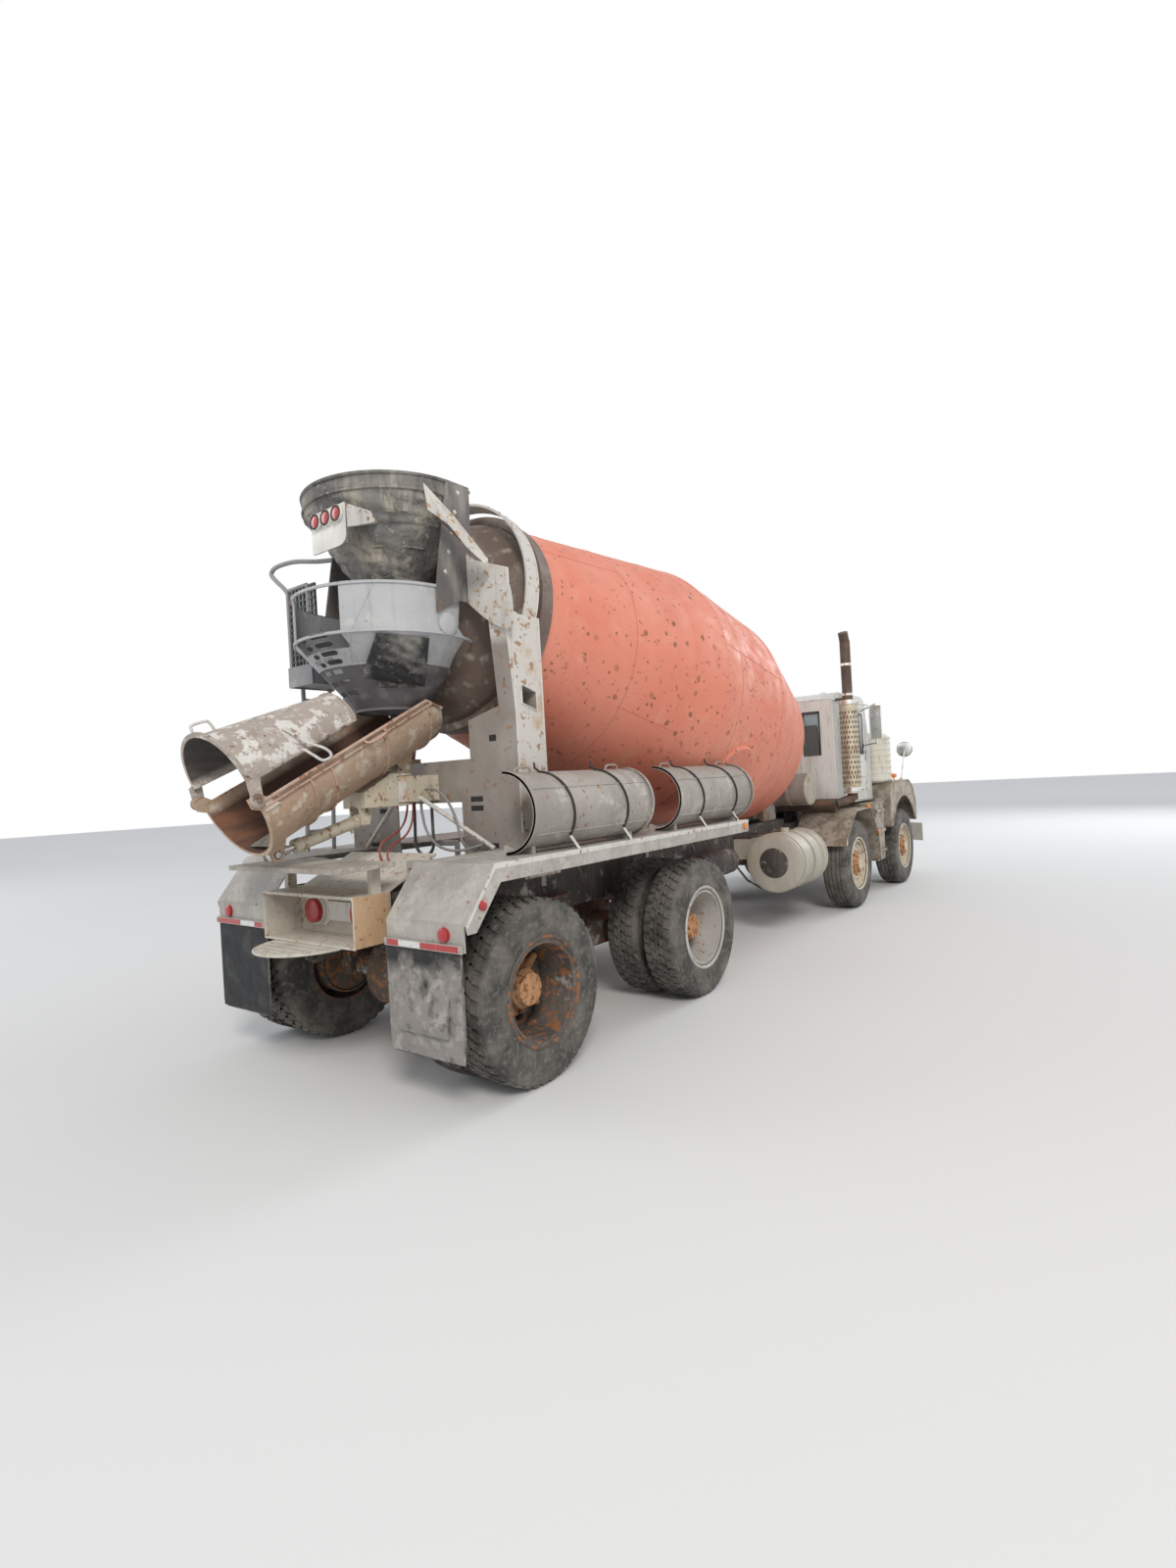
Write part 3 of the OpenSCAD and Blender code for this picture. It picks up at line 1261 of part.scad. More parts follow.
front_tyre_at(axle_1_x, "left");  // tyre_1_left
front_tyre_at(axle_2_x, "right");  // tyre_2_right
front_tyre_at(axle_2_x, "left");  // tyre_2_left
twin_tyres_at(axle_3_x, "right");  // tyre_3_right
twin_tyres_at(axle_3_x, "left");  // tyre_3_left
twin_tyres_at(axle_4_x, "right");  // tyre_4_right
twin_tyres_at(axle_4_x, "left");  // tyre_4_left
at_wheel(axle_1_x, "right") front_rim();  // rim_1_right
at_wheel(axle_1_x, "left") front_rim();  // rim_1_left
at_wheel(axle_2_x, "right") front_rim();  // rim_2_right
at_wheel(axle_2_x, "left") front_rim();  // rim_2_left
at_wheel(axle_3_x, "right") twin_rim();  // rim_3_right
at_wheel(axle_3_x, "left") twin_rim();  // rim_3_left
at_wheel(axle_4_x, "right") twin_rim();  // rim_4_right
at_wheel(axle_4_x, "left") twin_rim();  // rim_4_left
hoses();
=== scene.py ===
"""Concrete mixer truck: looks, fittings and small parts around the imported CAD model."""

import json
import math
import random

import bmesh
import bpy
from mathutils import Matrix, Vector


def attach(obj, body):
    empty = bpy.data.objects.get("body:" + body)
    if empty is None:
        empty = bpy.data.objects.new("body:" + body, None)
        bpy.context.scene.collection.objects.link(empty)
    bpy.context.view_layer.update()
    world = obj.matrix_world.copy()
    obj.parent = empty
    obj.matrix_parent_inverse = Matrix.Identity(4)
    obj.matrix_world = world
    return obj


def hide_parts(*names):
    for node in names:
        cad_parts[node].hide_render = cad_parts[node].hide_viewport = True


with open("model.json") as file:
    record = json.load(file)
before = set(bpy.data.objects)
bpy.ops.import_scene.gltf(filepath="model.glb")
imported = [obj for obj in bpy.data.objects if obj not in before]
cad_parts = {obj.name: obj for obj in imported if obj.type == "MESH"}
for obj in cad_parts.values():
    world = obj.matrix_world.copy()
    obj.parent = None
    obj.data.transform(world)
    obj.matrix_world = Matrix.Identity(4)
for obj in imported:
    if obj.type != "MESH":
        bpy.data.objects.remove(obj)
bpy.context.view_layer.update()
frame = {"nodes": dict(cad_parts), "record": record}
random.seed(7)
scene = bpy.context.scene

# ---------------------------------------------------------------- places
X, Y, Z = Vector((1, 0, 0)), Vector((0, 1, 0)), Vector((0, 0, 1))
ROUND = 2 * math.pi
MID_X = 3.926  # middle of the truck's length, in metres ahead of the rearmost axle
AXLES = {4: 0, 3: 1913, 2: 5933, 1: 8033}
WHEEL_Z = 525
SIDES = {"right": -1, "left": 1}


def at(x, y, z):
    """A place in millimetres from the rearmost axle, as part.scad counts them."""
    return Vector((x / 1000 - MID_X, y / 1000, z / 1000))


def across(axis):
    """Two unit vectors across an axis."""
    axis = axis.normalized()
    side = axis.cross(Z)
    if side.length < 1e-3:
        side = X.copy()
    side.normalize()
    return side, axis.cross(side).normalized()


def ray_at(a, u=X, w=Y):
    """The direction at an angle from u towards w."""
    return u * math.cos(a) + w * math.sin(a)


def rays(count, u=X, w=Z, phase=0.0):
    """Directions spread evenly round a circle."""
    return [ray_at(ROUND * (i + phase) / count, u, w) for i in range(count)]


def link(obj):
    scene.collection.objects.link(obj)
    return obj


TILT = math.radians(11.2)
DRUM_START = at(700, 0, 2876)
DRUM_AXIS = Vector((math.cos(TILT), 0, -math.sin(TILT)))
DRUM_UP, DRUM_RIGHT = Vector((math.sin(TILT), 0, math.cos(TILT))), Vector((0, -1, 0))

# ---------------------------------------------------------------- camera
YAW, PITCH, ROLL = (math.radians(a) for a in (36.69, 0.2206, 3.223))
FOCAL, PHOTO_HEIGHT, SENSOR = 763.36, 1600, 36  # the first two in the photo's pixels
forward = Vector((math.cos(YAW) * math.cos(PITCH), math.sin(YAW) * math.cos(PITCH), -math.sin(PITCH)))
level = forward.cross(Z).normalized()
down = forward.cross(level)
right = ray_at(ROLL, level, down)
down = down * math.cos(ROLL) - level * math.sin(ROLL)
camera = link(bpy.data.objects.new("camera", bpy.data.cameras.new("camera")))
camera.matrix_world = (Matrix.Translation(at(-3187, -3949, 1692))
                       @ Matrix((right, -down, -forward)).transposed().to_4x4())
camera.data.sensor_width = SENSOR
camera.data.lens = FOCAL / PHOTO_HEIGHT * SENSOR
camera.data.clip_end = 200
scene.camera = camera
scene.view_settings.view_transform = "Standard"


# ---------------------------------------------------------------- looks
def rgba(color):
    """Colours are linear, and written in thousandths."""
    return (*(c / 1000 for c in color), 1)


def shade(color, share):
    return tuple(c * share for c in color)


def feed(tree, node, inputs):
    """Gives each input its value, or the output that it takes it from."""
    for key, value in inputs.items():
        if isinstance(value, bpy.types.NodeSocket):
            tree.links.new(value, node.inputs[key])
        else:
            node.inputs[key].default_value = value


def add_node(tree, kind, inputs, out=0, **settings):
    node = tree.nodes.new("ShaderNode" + kind)
    for key, value in settings.items():
        setattr(node, key, value)
    feed(tree, node, inputs)
    return node.outputs[out]


class Look:
    """A procedural material on one Principled shader. Patterns are laid over each other in turn."""

    def __init__(self, name, color, rough=0.6, metallic=0.0):
        self.mat = bpy.data.materials.new(name)
        self.mat.use_nodes = True
        self.tree = self.mat.node_tree
        self.color = rgba(color)
        self.shader({"Metallic": metallic, "Roughness": rough, "Base Color": self.color})
        self.coords = self.tree.nodes.new("ShaderNodeTexCoord").outputs
        self.place = self.coords["Object"]

    def shader(self, inputs):
        feed(self.tree, self.tree.nodes["Principled BSDF"], inputs)
        return self

    def add(self, kind, inputs, out=0, **settings):
        return add_node(self.tree, kind, inputs, out, **settings)

    def noise(self, scale, detail=4.0, stretch=(1, 1, 1), offset=(0, 0, 0), rough=0.55):
        place = self.place
        if stretch != (1, 1, 1) or offset != (0, 0, 0):
            place = self.add("Mapping", {"Vector": place, "Scale": stretch, "Location": offset})
        return self.add("TexNoise", {"Vector": place, "Scale": scale, "Detail": detail,
                                     "Roughness": rough}, "Fac")

    def ramp(self, value, low, high, top=1.0, bottom=0.0):
        return self.add("MapRange", {"Value": value, "From Min": low, "From Max": high, "To Min": bottom,
                                     "To Max": top}, "Result")

    def clouds(self, scale, low, high, top=1.0, **how):
        return self.ramp(self.noise(scale, **how), low, high, top)

    def times(self, product, *masks):
        for mask in masks:
            product = self.add("Math", {0: product, 1: mask}, operation="MULTIPLY")
        return product

    def greater(self, a, b):
        return self.add("Math", {0: a, 1: b}, operation="MAXIMUM")

    def dot(self, vector, axis):
        return self.add("VectorMath", {0: vector, 1: axis}, "Value", operation="DOT_PRODUCT")

    def along(self, axis, start=(0, 0, 0)):
        """Distance along an axis from a point, in metres."""
        return self.dot(self.add("VectorMath", {0: self.place, 1: start}, operation="SUBTRACT"), axis)

    def facing(self, axis):
        """How far the surface faces along an axis of its object, from -1 to 1."""
        return self.dot(self.coords["Normal"], axis)

    def cover(self, mask, color):
        """Lays a colour over what is there, where the mask is high."""
        self.color = self.add("Mix", {0: mask, 6: self.color, 7: rgba(color)}, 2, data_type="RGBA")
        return self.shader({"Base Color": self.color})

    def patches(self, color, scale, low, high, top=1.0, where=None, **how):
        mask = self.clouds(scale, low, high, top, **how)
        return self.cover(mask if where is None else self.times(where, mask), color)

    def spots(self, color, scale, low, high, where):
        """Round pits of many sizes, thinned out by a wider mask."""
        wobble = self.add("TexNoise", {"Vector": self.place, "Scale": scale * 1.4}, "Color")
        shift = self.add("VectorMath", {0: wobble, "Scale": 0.35 / scale}, operation="SCALE")
        warped = self.add("VectorMath", {0: self.place, 1: shift}, operation="ADD")
        pits = self.add("TexVoronoi", {"Vector": warped, "Scale": scale}, "Distance")
        return self.cover(self.times(self.ramp(pits, high, low), where), color)

    def bumps(self, scale, distance, detail=5.0):
        inputs = {"Strength": 1.0, "Distance": distance, "Height": self.noise(scale, detail)}
        for earlier in self.tree.nodes["Principled BSDF"].inputs["Normal"].links:
            inputs["Normal"] = earlier.from_socket
        return self.shader({"Normal": self.add("Bump", inputs, "Normal")})

    def uneven(self, low, high, scale=6.0):
        return self.shader({"Roughness": self.ramp(self.noise(scale), 0.3, 0.7, high, low)})


RUST, DARK_RUST, GRIME = (300, 120, 45), (160, 75, 40), (230, 200, 170)


def painted(name, color, worn, rust, crust=0.0, rust_share=0.62, rough=0.5):
    """Old paint: faded patches, run-down dirt, rust spots and, where asked, splashed concrete."""
    look = Look(name, color, rough)
    look.patches(worn, 3.0, 0.42, 0.68, 0.8)
    look.patches(GRIME, 1.6, 0.5, 0.8, 0.35, stretch=(3, 3, 0.8))
    look.patches(GRIME, 9.0, 0.56, 0.74, 0.4, stretch=(2.5, 2.5, 0.35))
    look.spots(rust, 13.0, 0.1, 0.24, look.clouds(2.3, rust_share - 0.08, rust_share + 0.08, offset=(3, 1, 7)))
    look.patches(rust, 22.0, rust_share + 0.03, rust_share + 0.09, 0.9, detail=8.0)
    if crust:
        look.patches((530, 500, 450), 5.0, 0.62 - crust, 0.72 - crust, 0.85, detail=9.0, rough=0.7)
        look.patches((330, 310, 280), 19.0, 0.66 - crust * 0.6, 0.78 - crust * 0.6, 0.6, detail=9.0)
        look.bumps(28.0, 0.006 + 0.01 * crust, 9.0)
    return look.bumps(90.0, 0.0012).uneven(rough - 0.12, min(0.95, rough + 0.28))


def metal(name, color, dirt, rough, dirt_share=0.5, metallic=1.0):
    look = Look(name, color, rough, metallic)
    look.patches(dirt, 8.0, dirt_share, dirt_share + 0.16, 0.85, detail=7.0)
    look.patches(shade(dirt, 0.6), 28.0, dirt_share + 0.08, dirt_share + 0.2, 0.7, detail=8.0)
    return look.bumps(60.0, 0.0006).uneven(max(0.12, rough - 0.12), min(0.95, rough + 0.3))


def rubber(name, color, dust, share=0.5):
    look = Look(name, color, 0.85)
    look.patches(dust, 5.0, share - 0.05, share + 0.2, 0.75, detail=8.0)
    look.patches(dust, 30.0, share + 0.05, share + 0.2, 0.6, detail=8.0)
    return look.bumps(120.0, 0.0012).uneven(0.7, 0.95, 12.0)


def lens(name, color):
    look = Look(name, color, 0.22).patches(shade(color, 0.45), 30.0, 0.5, 0.75, 0.5)
    return look.bumps(240.0, 0.0008, 1.0).shader({"Coat Weight": 0.6, "Coat Roughness": 0.12})


def chute(name, color, worn, flakes, inside, streaks, axis, flake_share):
    """A trough: splashed and flaking outside, worn dark inside. The axis points out of its hollow side."""
    look = Look(name, color, 0.8)
    look.patches(worn, 3.0, 0.42, 0.66, 0.85, detail=8.0)
    look.patches(shade(color, 0.55), 12.0, 0.55, 0.7, 0.6, detail=9.0)
    look.patches(flakes, 7.0, flake_share, flake_share + 0.035, 0.95, detail=9.0, rough=0.65)
    look.patches(shade(flakes, 0.8), 26.0, flake_share + 0.03, flake_share + 0.07, 0.8, detail=9.0)
    look.spots(DARK_RUST, 19.0, 0.08, 0.17, look.clouds(2.6, 0.48, 0.6, offset=(3, 1, 7)))
    hollow = look.ramp(look.facing(axis), 0.02, 0.14)
    look.cover(hollow, inside)
    look.patches(streaks, 3.2, 0.46, 0.62, 0.9, hollow, detail=8.0, stretch=(0.4, 2, 2))
    return look.bumps(30.0, 0.006, 9.0).bumps(110.0, 0.0015).uneven(0.65, 0.95)


def drum(name):
    look = Look(name, (720, 225, 145), 0.55)
    s = look.along(DRUM_AXIS, DRUM_START)
    look.patches((790, 310, 215), 1.3, 0.35, 0.7, 0.9)
    look.patches((600, 165, 100), 2.6, 0.52, 0.74, 0.5, detail=8.0)
    look.patches((800, 380, 270), 7.0, 0.58, 0.8, 0.6, detail=8.0)
    look.patches((660, 330, 170), 3.1, 0.62, 0.72, 0.55, detail=8.0, offset=(2, 7, 3))
    look.spots((270, 105, 50), 6.5, 0.12, 0.19, look.clouds(1.1, 0.40, 0.6, offset=(5, 2, 1)))
    look.spots((240, 95, 50), 12.0, 0.11, 0.19, look.clouds(1.7, 0.48, 0.58, detail=7.0, offset=(1, 9, 3)))
    look.spots((170, 70, 40), 27.0, 0.10, 0.19, look.clouds(2.2, 0.55, 0.66, detail=7.0, offset=(8, 2, 4)))
    look.patches((300, 120, 60), 19.0, 0.63, 0.67, 0.9, detail=9.0)
    for weld in (0.87, 2.19, 3.07, 3.66):
        near_weld = look.add("Math", {0: s, 1: weld, 2: 0.006}, operation="COMPARE")
        look.cover(look.ramp(near_weld, 0, 1, 0.55), (500, 170, 110))
    # The dark rear cone, with concrete on it, ends at the roller ring
    look.cover(look.ramp(s, 0.075, 0.055), (135, 95, 75))
    rear = look.ramp(s, 0.07, 0.05)
    look.patches((270, 215, 175), 3.0, 0.45, 0.7, 0.8, rear, detail=7.0, offset=(2, 2, 2))
    look.patches((400, 360, 310), 10.0, 0.55, 0.7, 0.8, rear, detail=8.0, offset=(4, 2, 2))
    return look.bumps(7.0, 0.004, 3.0).bumps(70.0, 0.001).uneven(0.42, 0.8)


def hopper(name):
    look = Look(name, (165, 160, 155), 0.9)
    look.patches((290, 275, 250), 3.0, 0.4, 0.62, detail=9.0, rough=0.7, stretch=(1, 1, 0.5))
    look.patches((540, 490, 400), 4.2, 0.47, 0.61, 0.88, detail=9.0, stretch=(1.2, 1.2, 0.22), rough=0.68)
    look.patches((85, 80, 75), 6.5, 0.54, 0.68, 0.75, detail=9.0, stretch=(1.2, 1.2, 0.2), offset=(4, 4, 4),
                 rough=0.68)
    look.patches((620, 570, 470), 24.0, 0.62, 0.71, 0.8, detail=9.0)
    look.patches((120, 115, 110), 6.0, 0.35, 0.6, 1.0, look.ramp(look.along(Z), 3.47, 3.56, 0.65), detail=8.0)
    return look.bumps(9.0, 0.02, 9.0).bumps(45.0, 0.006, 9.0).uneven(0.8, 1.0)


def pedestal(name):
    """Concrete-grey plates, with worn white paint on their outer sides and above the drum's mouth."""
    look = Look(name, (310, 275, 245), 0.7)
    sideways, height = look.along(Y), look.along(Z)
    look.patches((420, 385, 345), 3.0, 0.42, 0.68, 0.85, detail=8.0)
    look.patches((170, 145, 125), 2.2, 0.52, 0.72, 0.6, stretch=(2, 2, 0.5), detail=8.0)
    outer = look.greater(look.ramp(look.facing(Y), 0.6, 0.75), look.ramp(look.facing(-Y), 0.6, 0.75))
    white = look.greater(outer, look.ramp(height, 2.56, 2.64))
    look.patches((620, 590, 545), 3.5, 0.30, 0.38, 1.0, white, detail=9.0, offset=(1, 5, 2))
    look.patches((500, 330, 190), 4.0, 0.54, 0.64, 0.9, white, detail=8.0, offset=(6, 1, 1))
    # The bracket plates beside the funnel are as dark and crusted as it is
    inner = look.times(look.ramp(sideways, 0.584, 0.579), look.ramp(sideways, -0.584, -0.579),
                       look.ramp(look.along(X, at(262, 0, 0)), 0.002, -0.002), look.ramp(height, 2.70, 2.72))
    look.cover(inner, (135, 125, 120))
    look.patches((300, 280, 250), 7.0, 0.46, 0.60, 0.85, inner, detail=9.0, stretch=(1, 1, 0.25))
    look.patches((330, 160, 70), 16.0, 0.60, 0.67, 0.9, detail=9.0)
    look.spots((140, 80, 50), 17.0, 0.08, 0.17, look.clouds(2.3, 0.50, 0.6, offset=(3, 1, 7)))
    return look.bumps(60.0, 0.002, 8.0).uneven(0.55, 0.9)


def collector(name):
    """Pale sheet steel, with a dark boot round its low end."""
    look = Look(name, (420, 425, 440), 0.6)
    look.patches((500, 505, 515), 2.5, 0.42, 0.68, 0.8)
    look.patches((240, 235, 230), 7.0, 0.55, 0.74, 0.5, stretch=(2.5, 2.5, 0.3), detail=8.0)
    look.patches((580, 560, 520), 12.0, 0.6, 0.68, 0.7, detail=9.0)
    boot = look.ramp(look.along(Z), 2.475, 2.465)
    look.cover(boot, (135, 130, 135))
    look.patches((260, 245, 225), 9.0, 0.52, 0.68, 0.8, boot, detail=8.0)
    look.spots((120, 80, 60), 15.0, 0.07, 0.15, look.clouds(2.1, 0.52, 0.62))
    return look.bumps(70.0, 0.0015, 6.0).uneven(0.5, 0.85)


def caked(name):
    """Black rubber at the top, and set concrete splashed over the rest."""
    look = Look(name, (30, 30, 32), 0.85)
    height = look.along(Z)
    edge = look.times(look.ramp(height, 0.86, 0.76), look.clouds(7.0, 0.46, 0.54, detail=9.0))
    edge = look.greater(edge, look.ramp(height, 0.80, 0.72))
    look.patches((270, 250, 230), 5.0, 0.26, 0.40, 1.0, edge, detail=9.0, offset=(2, 2, 2))
    look.patches((400, 375, 345), 11.0, 0.5, 0.62, 0.8, edge, detail=9.0)
    look.patches((120, 105, 95), 17.0, 0.57, 0.68, 0.7, detail=9.0)
    return look.bumps(26.0, 0.01, 9.0).bumps(90.0, 0.002).uneven(0.8, 1.0)


def window(name, color, dust):
    look = Look(name, color, 0.06).shader({"Transmission Weight": 0.85, "IOR": 1.45})
    return look.patches(dust, 3.0, 0.55, 0.75, 0.5)


MAKERS = {
    # Colour, worn colour, rust's colour, share of crust, threshold of the rust, roughness
    painted: {
        "frame_steel": ((55, 50, 48), (100, 90, 80), DARK_RUST, 0.06, 0.56, 0.7),
        "bumper_paint": ((600, 580, 530), (680, 660, 610), RUST, 0.0, 0.6),
        "axle_iron": ((85, 60, 45), (150, 105, 75), RUST, 0.05, 0.5, 0.8),
        "spring_steel": ((80, 60, 48), (130, 95, 70), RUST, 0.05, 0.52, 0.8),
        "tank_aluminium": ((460, 430, 355), (550, 520, 455), (360, 250, 140), 0.0, 0.62, 0.42),
        "gearbox_paint": ((460, 420, 310), (580, 550, 450), RUST, 0.14, 0.58, 0.75),
        "ladder_paint": ((270, 275, 285), (360, 365, 360), RUST, 0.03, 0.62, 0.6),
        "deck_paint": ((570, 520, 440), (660, 620, 550), RUST, 0.1, 0.58, 0.7),
        "fender_paint": ((410, 385, 350), (560, 540, 505), RUST, 0.12, 0.6, 0.75),
        "chute_grey": ((310, 285, 255), (430, 400, 365), RUST, 0.07, 0.6, 0.6),
        "cab_paint": ((740, 735, 710), (660, 650, 610), RUST, 0.0, 0.66, 0.42),
        "cab_trim": ((120, 110, 100), (200, 180, 160), DARK_RUST, 0.0, 0.7, 0.8),
        "cleaner_paint": ((690, 655, 550), (750, 730, 660), RUST, 0.0, 0.63, 0.45),
        "swing_paint": ((600, 535, 405), (680, 630, 530), RUST, 0.02, 0.56, 0.6),
        "front_rim_paint": ((640, 565, 440), (720, 660, 560), RUST, 0.0, 0.56, 0.55),
        "third_rim_paint": ((470, 455, 425), (580, 570, 540), RUST, 0.0, 0.58, 0.55),
        "rear_rim_paint": ((75, 62, 55), (140, 115, 100), RUST, 0.03, 0.5, 0.8),
        "hub_rust": ((470, 230, 100), (560, 330, 170), (200, 75, 30), 0.0, 0.5, 0.85),
        "white_edge": ((660, 640, 600), (740, 720, 680), RUST, 0.03, 0.57, 0.6),
        "plank_wood": ((340, 310, 270), (450, 420, 370), (180, 130, 90), 0.1, 0.6, 0.9),
        "ochre_side": ((560, 360, 200), (620, 460, 310), RUST, 0.02, 0.56, 0.7),
        "lamp_surround": ((740, 720, 680), (620, 590, 540), RUST, 0.0, 0.66, 0.4),
        "wing_white": ((600, 575, 535), (700, 675, 630), (450, 260, 120), 0.0, 0.53, 0.6),
        "chute_lip": ((560, 360, 275), (620, 470, 370), (270, 120, 60), 0.05, 0.52, 0.75),
        "fold_rim": ((330, 285, 250), (550, 500, 440), DARK_RUST, 0.05, 0.52, 0.75),
        "guard_paint": ((35, 37, 45), (100, 95, 90), RUST, 0.02, 0.6),
    },
    # Colour, dirt, roughness, threshold of the dirt, how metallic
    metal: {
        "engine_grey": ((160, 155, 145), (60, 50, 45), 0.65, 0.42, 0.3),
        "tread_plate": ((460, 400, 330), (270, 220, 170), 0.5, 0.45, 0.55),
        "lamp_metal": ((720, 720, 700), (350, 320, 280), 0.22, 0.6),
        "exhaust_steel": ((120, 95, 80), (230, 130, 75), 0.6, 0.5, 0.55),
        "shield_steel": ((600, 540, 420), (360, 280, 190), 0.45, 0.5, 0.6),
        "mirror_metal": ((750, 760, 750), (420, 400, 360), 0.16, 0.62),
        "trim_metal": ((600, 600, 580), (340, 320, 280), 0.32, 0.55),
        "roller_iron": ((200, 185, 170), (110, 85, 65), 0.5, 0.45, 0.7),
        "rod_chrome": ((660, 650, 620), (420, 370, 300), 0.3, 0.55),
    },
    # Colour, dust, threshold of the dust
    rubber: {
        "flap_rubber": ((55, 50, 47), (340, 320, 290), 0.48),
        "hose_rubber": ((40, 38, 36), (200, 190, 170), 0.5),
        "grey_hose": ((250, 250, 245), (360, 345, 320), 0.5),
        "red_hose": ((330, 50, 35), (380, 270, 220), 0.52),
        "tyre_rubber": ((55, 52, 48), (210, 190, 165), 0.46),
        "flap_crust": ((28, 28, 30), (440, 420, 380), 0.54),
        "left_flap": ((22, 23, 25), (100, 100, 95), 0.6),
        "strap_rubber": ((35, 33, 32), (120, 110, 100), 0.6),
        # This black is the seals' rubber, and also the painted shade in the collector's slots and the legs' ports
        "seal_rubber": ((30, 30, 30), (90, 85, 80), 0.6),
    },
    lens: {
        "red_lens": ((420, 12, 12),),
        "red_tape": ((450, 30, 30),),
        "white_tape": ((720, 710, 680),),
        "amber_lens": ((750, 220, 10),),
        "clear_lens": ((720, 740, 750),),
    },
    chute: {
        "rusty_chute": ((460, 325, 225), (580, 450, 345), (620, 530, 430), (115, 60, 45), (270, 120, 65),
                        (-0.454, 0, 0.891), 0.56),
        "cream_chute": ((420, 350, 305), (500, 430, 380), (760, 735, 690), (85, 75, 70), (170, 140, 120),
                        (0.43, 0, -0.903), 0.555),
    },
    drum: {"drum_paint": ()},
    hopper: {"crusted_steel": ()},
    pedestal: {"pedestal_paint": ()},
    collector: {"collector_paint": ()},
    caked: {"caked_flap": ()},
    window: {"window_glass": ((550, 620, 630), (420, 450, 440))},
}
LOOKS = {name: make(name, *values).mat for make, rows in MAKERS.items() for name, values in rows.items()}
SLOTS = {row["node"]: row["material_slot"] for row in frame["record"]["subparts"]}
for name, node in frame["nodes"].items():
    node.data.materials.clear()
    node.data.materials.append(LOOKS[SLOTS[name]])


# ---------------------------------------------------------------- forms
class Form:
    """Collects simple solids into one mesh. A place is a Vector, or numbers in part.scad's millimetres."""

    def __init__(self):
        self.bm = bmesh.new()
        self.side = 1

    def sides(self):
        """Works on the right side, then on the left one. There each y is counted outwards."""
        for self.side in (-1, 1):
            yield Y * self.side

    def to(self, place):
        return place if isinstance(place, Vector) else at(place[0], place[1] * self.side, place[2])

    def verts(self, places):
        return [self.bm.verts.new(self.to(place)) for place in places]

    def face(self, verts):
        """A face, unless it is there already."""
        try:
            self.bm.faces.new(verts)
        except ValueError:
            pass

    def wall(self, a, b):
        """Faces between two rings of vertices."""
        for i, j in zip(range(len(a)), (*range(1, len(a)), 0)):
            self.face([a[i], a[j], b[j], b[i]])

    def lump(self, top, foot):
        """A raised block, open at its foot."""
        top, foot = self.verts(top), self.verts(foot)
        self.face(top)
        self.wall(top, foot)

    def box(self, x, y, z):
        y = sorted(v * self.side for v in y)
        v = [self.bm.verts.new(at(a, b, c)) for a in x for b in y for c in z]
        for f in ((0, 1, 3, 2), (4, 6, 7, 5), (0, 4, 5, 1), (2, 3, 7, 6), (0, 2, 6, 4), (1, 5, 7, 3)):
            self.face([v[i] for i in f])

    def prism(self, outline, shift):
        """A plate: an outline of places, thickened by a vector in metres."""
        outline = [self.to(place) for place in outline]
        a, b = self.verts(outline), self.verts(place + shift for place in outline)
        self.face(a[::-1])
        self.face(b)
        self.wall(a, b)

    def side_plate(self, outline, y):
        self.prism([(x, y[0], z) for x, z in outline], Y * (self.side * (y[1] - y[0]) / 1000))

    def revolve(self, centre, axis, profile, count=32, turn=(0.0, 1.0), closed=False):
        """Turns rows of (radius, distance along the axis), in millimetres, about an axis."""
        centre, axis = self.to(centre), axis.normalized()
        u, w = across(axis)
        whole = turn == (0.0, 1.0)
        rings = []
        for i in range(count if whole else count + 1):
            out = ray_at(ROUND * (turn[0] + (turn[1] - turn[0]) * i / count), u, w)
            rings.append(self.verts(centre + out * (r / 1000) + axis * (h / 1000) for r, h in profile))
        for i in range(count):
            a, b = rings[i], rings[(i + 1) % len(rings)]
            for k in range(len(profile) if closed else len(profile) - 1):
                m = (k + 1) % len(profile)
                self.face([a[k], b[k], b[m], a[m]])
        if not whole and closed:
            self.face(rings[0][::-1])
            self.face(rings[-1])

    def band(self, centre, axis, inner, outer, low, high, count=32, **how):
        self.revolve(centre, axis, [(inner, low), (outer, low), (outer, high), (inner, high)], count, **how)

    def rod(self, start, end, r, count=14, end_r=None):
        start, end = self.to(start), self.to(end)
        length = (end - start).length * 1000
        self.revolve(start, end - start, [(0, 0), (r, 0), (end_r or r, length), (0, length)], count)

    def tube(self, points, r, count=8, smooth=0, closed=False):
        """A round bar of radius r in millimetres along places, or along a smooth line through them."""
        points = [self.to(point) for point in points]
        points = spline(points, smooth) if smooth else points
        n, rings, side = len(points), [], None
        for i, p in enumerate(points):
            before = points[(i - 1) % n] if closed or i else p
            after = points[(i + 1) % n] if closed or i < n - 1 else p
            axis = (after - before).normalized()
            side = across(axis)[0] if side is None else side
            side = (side - axis * side.dot(axis)).normalized()
            rings.append(self.verts(p + ray * (r / 1000) for ray in rays(count, side, axis.cross(side))))
        for i in range(n if closed else n - 1):
            self.wall(rings[i], rings[(i + 1) % n])
        if not closed:
            self.face(rings[0][::-1])
            self.face(rings[-1])

    def surround(self, x0, y0, x1, y1, low, high, r, count=6):
        """A closed bar round an upright opening."""
        self.tube([(x0, y0, low), (x1, y1, low), (x1, y1, high), (x0, y0, high)], r, count, closed=True)

    def bolt(self, place, normal, r=11, h=8):
        """A hexagon head on its washer."""
        self.band(place, normal, 0, r * 1.45, 0, 2.5, 14)
        self.revolve(place, normal, [(0, 2), (r, 2), (r, h * 0.85), (r * 0.85, h), (0, h)], 6)

    def bolts(self, start, end, count, normal, r=9, h=7):
        for i in range(count):
            self.bolt(self.to(start).lerp(self.to(end), i / (count - 1)), normal, r, h)

